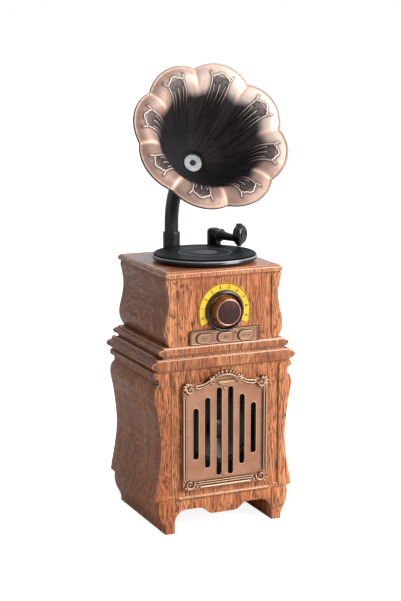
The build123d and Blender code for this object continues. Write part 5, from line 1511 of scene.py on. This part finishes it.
class LOUDSPEAKER_OT_turntable(bpy.types.Operator):
    """Turns the platter's rim and presses the record"""

    bl_idname = "loudspeaker.turntable"
    bl_label = "Turntable"

    def execute(self, context):
        centre = (RECORD_CENTRE[0], RECORD_CENTRE[1], 0.0)
        bottom, top = low("platter")[2], high("platter")[2]
        reach = high("platter")[0] - RECORD_CENTRE[0]
        rim = [(0, bottom), (reach - 2.6, bottom), (reach - 1.1, bottom + 0.2), (reach - 0.5, bottom + 0.55)]
        rim += [(reach - 0.35, bottom + 0.85), (reach - 0.75, bottom + 1.1), (reach - 0.75, bottom + 1.2)]
        rim += [(reach - 0.2, bottom + 1.35), (reach, bottom + 1.65), (reach - 0.15, bottom + 1.95)]
        rim += [(reach - 0.5, top), (0, top)]
        # The lip ring: a pale grey torus along the black rim's top edge, standing as a painted highlight.
        a = np.linspace(0, 2 * np.pi, 14, endpoint=False)
        lip = np.stack([reach - 0.35 + 0.42 * np.cos(a), top - 0.3 + 0.42 * np.sin(a)], -1)
        edge = high("record_disc")[0] - RECORD_CENTRE[0]
        base = low("record_disc")[2]
        disc = [(0, base), (edge - 0.4, base), (edge, base + 0.4), (edge, RECORD_TOP - 0.35)]
        disc += [(edge - 0.5, RECORD_TOP), (edge - 1.4, RECORD_TOP)]
        disc += [(edge - 1.9, RECORD_TOP - 0.15), (17.6, RECORD_TOP - 0.15)]
        disc += [(17.3, RECORD_TOP - 0.05), (16.4, RECORD_TOP - 0.05), (16.1, RECORD_TOP - 0.15)]
        disc += [(8.7, RECORD_TOP - 0.15), (8.2, RECORD_TOP), (0, RECORD_TOP)]
        for name, profile, slot, finish, stands_for, loop in (
            ("platter_turned", rim, "black_satin", "rim_black", ("platter",), False),
            ("platter_lip", lip, "black_satin", "lip_highlight", (), True),
            ("record_pressed", disc, "black_gloss", "record", ("record_disc",), False),
        ):
            turned_piece(name, profile, centre, UP, "turntable", finish, stands_for, 160, loop)
        finish_nodes(material("steel"), "platter_axle")
        return {"FINISHED"}


class LOUDSPEAKER_OT_horn(bpy.types.Operator):
    """Spins the lobed bell, raises the lines on its petals and finishes the neck"""

    bl_idname = "loudspeaker.horn"
    bl_label = "Horn"

    def execute(self, context):
        around, inner = ((448, 104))
        bell = [bell_shape(around, inner)]
        add_piece("horn_bell_lobed", bell, "horn", material("bell"), ("horn_bell",), 75)
        add_piece("horn_petal_lines", petal_beads(), "horn", material("bell"), (), 75)
        finish_nodes(material("satin_black"), "horn_neck", "horn_socket")
        finish_nodes(material("bright_washer"), "horn_washer")
        finish_nodes(material("dark_steel"), "horn_screw")
        return {"FINISHED"}


SOUNDBOX_TURN = np.radians(38.0)
TUBE_DROP = 3.2
SOUNDBOX = [
    (0, -2.6), (4.4, -2.6), (5.2, -2.3), (5.5, -1.6), (6.3, -1.4), (6.8, -1.0), (6.9, -0.5), (6.9, 0.4),
    (6.6, 0.8), (6.1, 0.9), (6.05, 1.4), (6.35, 1.6), (6.45, 2.2), (6.2, 2.6), (5.6, 2.7), (5.5, 3.2),
    (5.1, 3.5), (4.5, 3.5), (4.25, 3.1), (3.4, 3.1), (3.2, 3.6), (2.4, 3.8), (2.2, 3.4), (0, 3.5),
]


class LOUDSPEAKER_OT_tonearm(bpy.types.Operator):
    """Turns the tonearm's post, tube and stepped soundbox"""

    bl_idname = "loudspeaker.tonearm"
    bl_label = "Tonearm"

    def execute(self, context):
        finish_nodes(material("satin_black"), "tonearm_base")
        post_low, post_high = low("tonearm_post"), high("tonearm_post")
        x, y = (post_low[0] + post_high[0]) / 2, (post_low[1] + post_high[1]) / 2
        top, reach = post_high[2], (post_high[0] - post_low[0]) / 2
        t = np.linspace(0, np.pi / 2, 9)
        shoulder = np.stack([reach - 2.6 * (1 - np.cos(t)), top - 2.6 * (1 - np.sin(t))], -1)
        post = [(0, post_low[2]), (reach - 0.3, post_low[2]), (reach, post_low[2] + 0.3)]
        post += [*map(tuple, shoulder), (0, top)]
        name, spot, stands_for = "tonearm_post_turned", (x, y, 0), ("tonearm_post",)
        turned_piece(name, post, spot, UP, "tonearm", "arm_black", stands_for, 72)
        tip = middle("soundbox") - np.array([0.0, 0.0, TUBE_DROP])
        root = np.array([x, y, top - 3.9])
        along = unit(tip - root)
        across = unit(np.cross(along, (0, 0, 1)))
        span = np.linalg.norm(tip - root)
        stub = [(0, 0.5), (3.7, 0.5), (3.7, 5.0), (3.9, 5.2), (3.9, 6.0)]
        stub += [(4.3, 6.2), (4.35, 7.0), (3.95, 7.4), (3.5, 7.5)]
        tube = [(3.3, 7.9), (3.1, 8.6), (2.9, 10.0), (2.2, span - 4.0)]
        tube += [(2.6, span - 3.6), (2.6, span - 2.2), (0, span - 2.2)]
        add_piece(
            "tonearm_tube_turned", [turned(stub + tube, root, along, across, 64)], "tonearm",
            material("arm_black"), ("tonearm_tube",), 40,
        )
        centre = middle("soundbox")
        turn = SOUNDBOX_TURN
        facing, sideways = (np.sin(turn), -np.cos(turn), 0.0), (np.cos(turn), np.sin(turn), 0.0)
        low_z, high_z = low("soundbox")[2], high("soundbox")[2]
        chuck = [(0, low_z), (1.2, low_z), (1.9, low_z + 0.6), (1.9, low_z + 2.3), (0, low_z + 2.6)]
        cap = [(0, high_z - 2.0), (2.3, high_z - 1.8), (2.3, high_z - 0.9), (1.8, high_z - 0.4), (0, high_z - 0.4)]
        drum = turned(SOUNDBOX, centre, facing, sideways, 96)
        spots = [turned(shape_line, (centre[0], centre[1], 0), steps=40) for shape_line in (chuck, cap)]
        finish = material("gloss_black")
        add_piece("soundbox_turned", [drum, *spots], "tonearm", finish, ("soundbox",), 32)
        return {"FINISHED"}


FLOOR_REACH = 6000.0
SKY_BRIGHT = (0.53, -0.45, 0.72)
CAMERA_TURN, CAMERA_RISE = np.radians(-24.11), np.radians(10.94)
CAMERA_PLACE = (-0.3959, -0.8870, 0.3297)


class LOUDSPEAKER_OT_stage(bpy.types.Operator):
    """Flat pale floor, pale surround, soft lights and the camera"""

    bl_idname = "loudspeaker.stage"
    bl_label = "Stage"

    def execute(self, context):
        sizes = context.scene.loudspeaker_stage
        floor = bpy.data.meshes.new("pale_floor")
        t = np.linspace(-FLOOR_REACH, FLOOR_REACH, 13)
        grid = np.stack(np.meshgrid(t, t, indexing="ij"), -1)
        points = np.concatenate([grid, np.full((13, 13, 1), -0.05)], -1)
        floor.from_pydata((points.reshape(-1, 3) * MM).tolist(), [], quads(13, 13).tolist())
        ground = placed("pale_floor", floor)
        made, web, shader = new_material("pale_floor", Roughness=0.6)
        patch = web.span(web.noise(web.place(), 0.02, 2.0), 0.3, 0.7)
        tint = web.mix(patch, (0.62, 0.62, 0.62, 1), (0.66, 0.66, 0.66, 1))
        seen = web.put("ShaderNodeLightPath").outputs["Is Camera Ray"]
        feed(web, shader, Base_Color=tint, Emission_Strength=web.times(seen, sizes.floor_glow))
        shader.inputs["Emission Color"].default_value = (1.0, 1.0, 1.0, 1.0)
        floor.materials.append(made)
        world = bpy.data.worlds.new("pale_surround")
        world.use_nodes = True
        world.node_tree.nodes.clear()
        web = Web(world.node_tree)
        heading = web.put("ShaderNodeTexCoord").outputs["Generated"]
        soft = web.span(web.along(heading, SKY_BRIGHT), -0.6, 1.0, sizes.sky * 0.14, sizes.sky * 2.3)
        parts = web.parts(heading)
        back = web.times(web.span(parts[1], 0.3, 0.8), web.span(parts[2], -0.1, 0.1))
        soft = web.math("ADD", soft, web.times(back, sizes.backdrop))
        light = web.put("ShaderNodeBackground", None, {0: (0.88, 0.94, 1.0, 1.0), 1: soft})
        plain = web.put("ShaderNodeBackground", None, {0: (1.0, 1.0, 1.0, 1.0), 1: 1.0})
        seen = web.put("ShaderNodeLightPath").outputs["Is Camera Ray"]
        both = web.put("ShaderNodeMixShader", None, {0: seen, 1: light, 2: plain})
        web.put("ShaderNodeOutputWorld", None, {0: both})
        context.scene.world = world
        context.scene.view_settings.view_transform = "Standard"
        aim = Vector((0, 0, 0.15))
        lamps = (
            ("key_light", (0.75, -0.85, 0.75), 0.8, sizes.key),
            ("fill_light", (-1.1, -0.3, 0.45), 0.9, sizes.fill),
        )
        for name, spot, size, power in lamps:
            lamp = bpy.data.lights.new(name, "AREA")
            lamp.shape = "SQUARE"
            lamp.size = size
            lamp.energy = power
            holder = placed(name, lamp)
            holder.location = spot
            holder.rotation_euler = (aim - Vector(spot)).to_track_quat("-Z", "Y").to_euler()
        lens = bpy.data.cameras.new("front_camera")
        lens.lens = sizes.lens
        lens.clip_start = 0.01
        eye = placed("front_camera", lens)
        turn, rise = CAMERA_TURN, CAMERA_RISE
        back = Vector((np.sin(turn) * np.cos(rise), -np.cos(turn) * np.cos(rise), np.sin(rise)))
        eye.location = CAMERA_PLACE
        eye.rotation_euler = back.to_track_quat("Z", "Y").to_euler()
        context.scene.camera = eye
        return {"FINISHED"}


OPERATORS = (
    LOUDSPEAKER_OT_cabinet,
    LOUDSPEAKER_OT_mouldings,
    LOUDSPEAKER_OT_grille,
    LOUDSPEAKER_OT_driver,
    LOUDSPEAKER_OT_dial,
    LOUDSPEAKER_OT_buttons,
    LOUDSPEAKER_OT_turntable,
    LOUDSPEAKER_OT_horn,
    LOUDSPEAKER_OT_tonearm,
    LOUDSPEAKER_OT_stage,
)


class LOUDSPEAKER_PT_panel(bpy.types.Panel):
    """Lists the pieces and the settings"""

    bl_label = "Horn Loudspeaker"
    bl_idname = "LOUDSPEAKER_PT_panel"
    bl_space_type = "VIEW_3D"
    bl_region_type = "UI"
    bl_category = "Loudspeaker"

    def draw(self, context):
        for operator in OPERATORS:
            self.layout.operator(operator.bl_idname)
        for holder in SETTINGS:
            group = getattr(context.scene, holder)
            box = self.layout.box()
            for name in group.bl_rna.properties.keys():
                if name not in ("rna_type", "name"):
                    box.prop(group, name)


SETTINGS = {
    "loudspeaker_wood": WoodSettings,
    "loudspeaker_grille": GrilleSettings,
    "loudspeaker_horn": HornSettings,
    "loudspeaker_dial": DialSettings,
    "loudspeaker_stage": StageSettings,
}


def register():
    for name, group in SETTINGS.items():
        bpy.utils.register_class(group)
        setattr(bpy.types.Scene, name, PointerProperty(type=group))
    for operator in OPERATORS:
        bpy.utils.register_class(operator)
    bpy.utils.register_class(LOUDSPEAKER_PT_panel)


def unregister():
    bpy.utils.unregister_class(LOUDSPEAKER_PT_panel)
    for operator in reversed(OPERATORS):
        bpy.utils.unregister_class(operator)
    for name, group in reversed(SETTINGS.items()):
        delattr(bpy.types.Scene, name)
        bpy.utils.unregister_class(group)


def main():
    """Makes every piece."""
    register()
    for operator in OPERATORS:
        part, action = operator.bl_idname.split(".")
        getattr(getattr(bpy.ops, part), action)()
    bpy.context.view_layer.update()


if __name__ == "__main__":
    main()
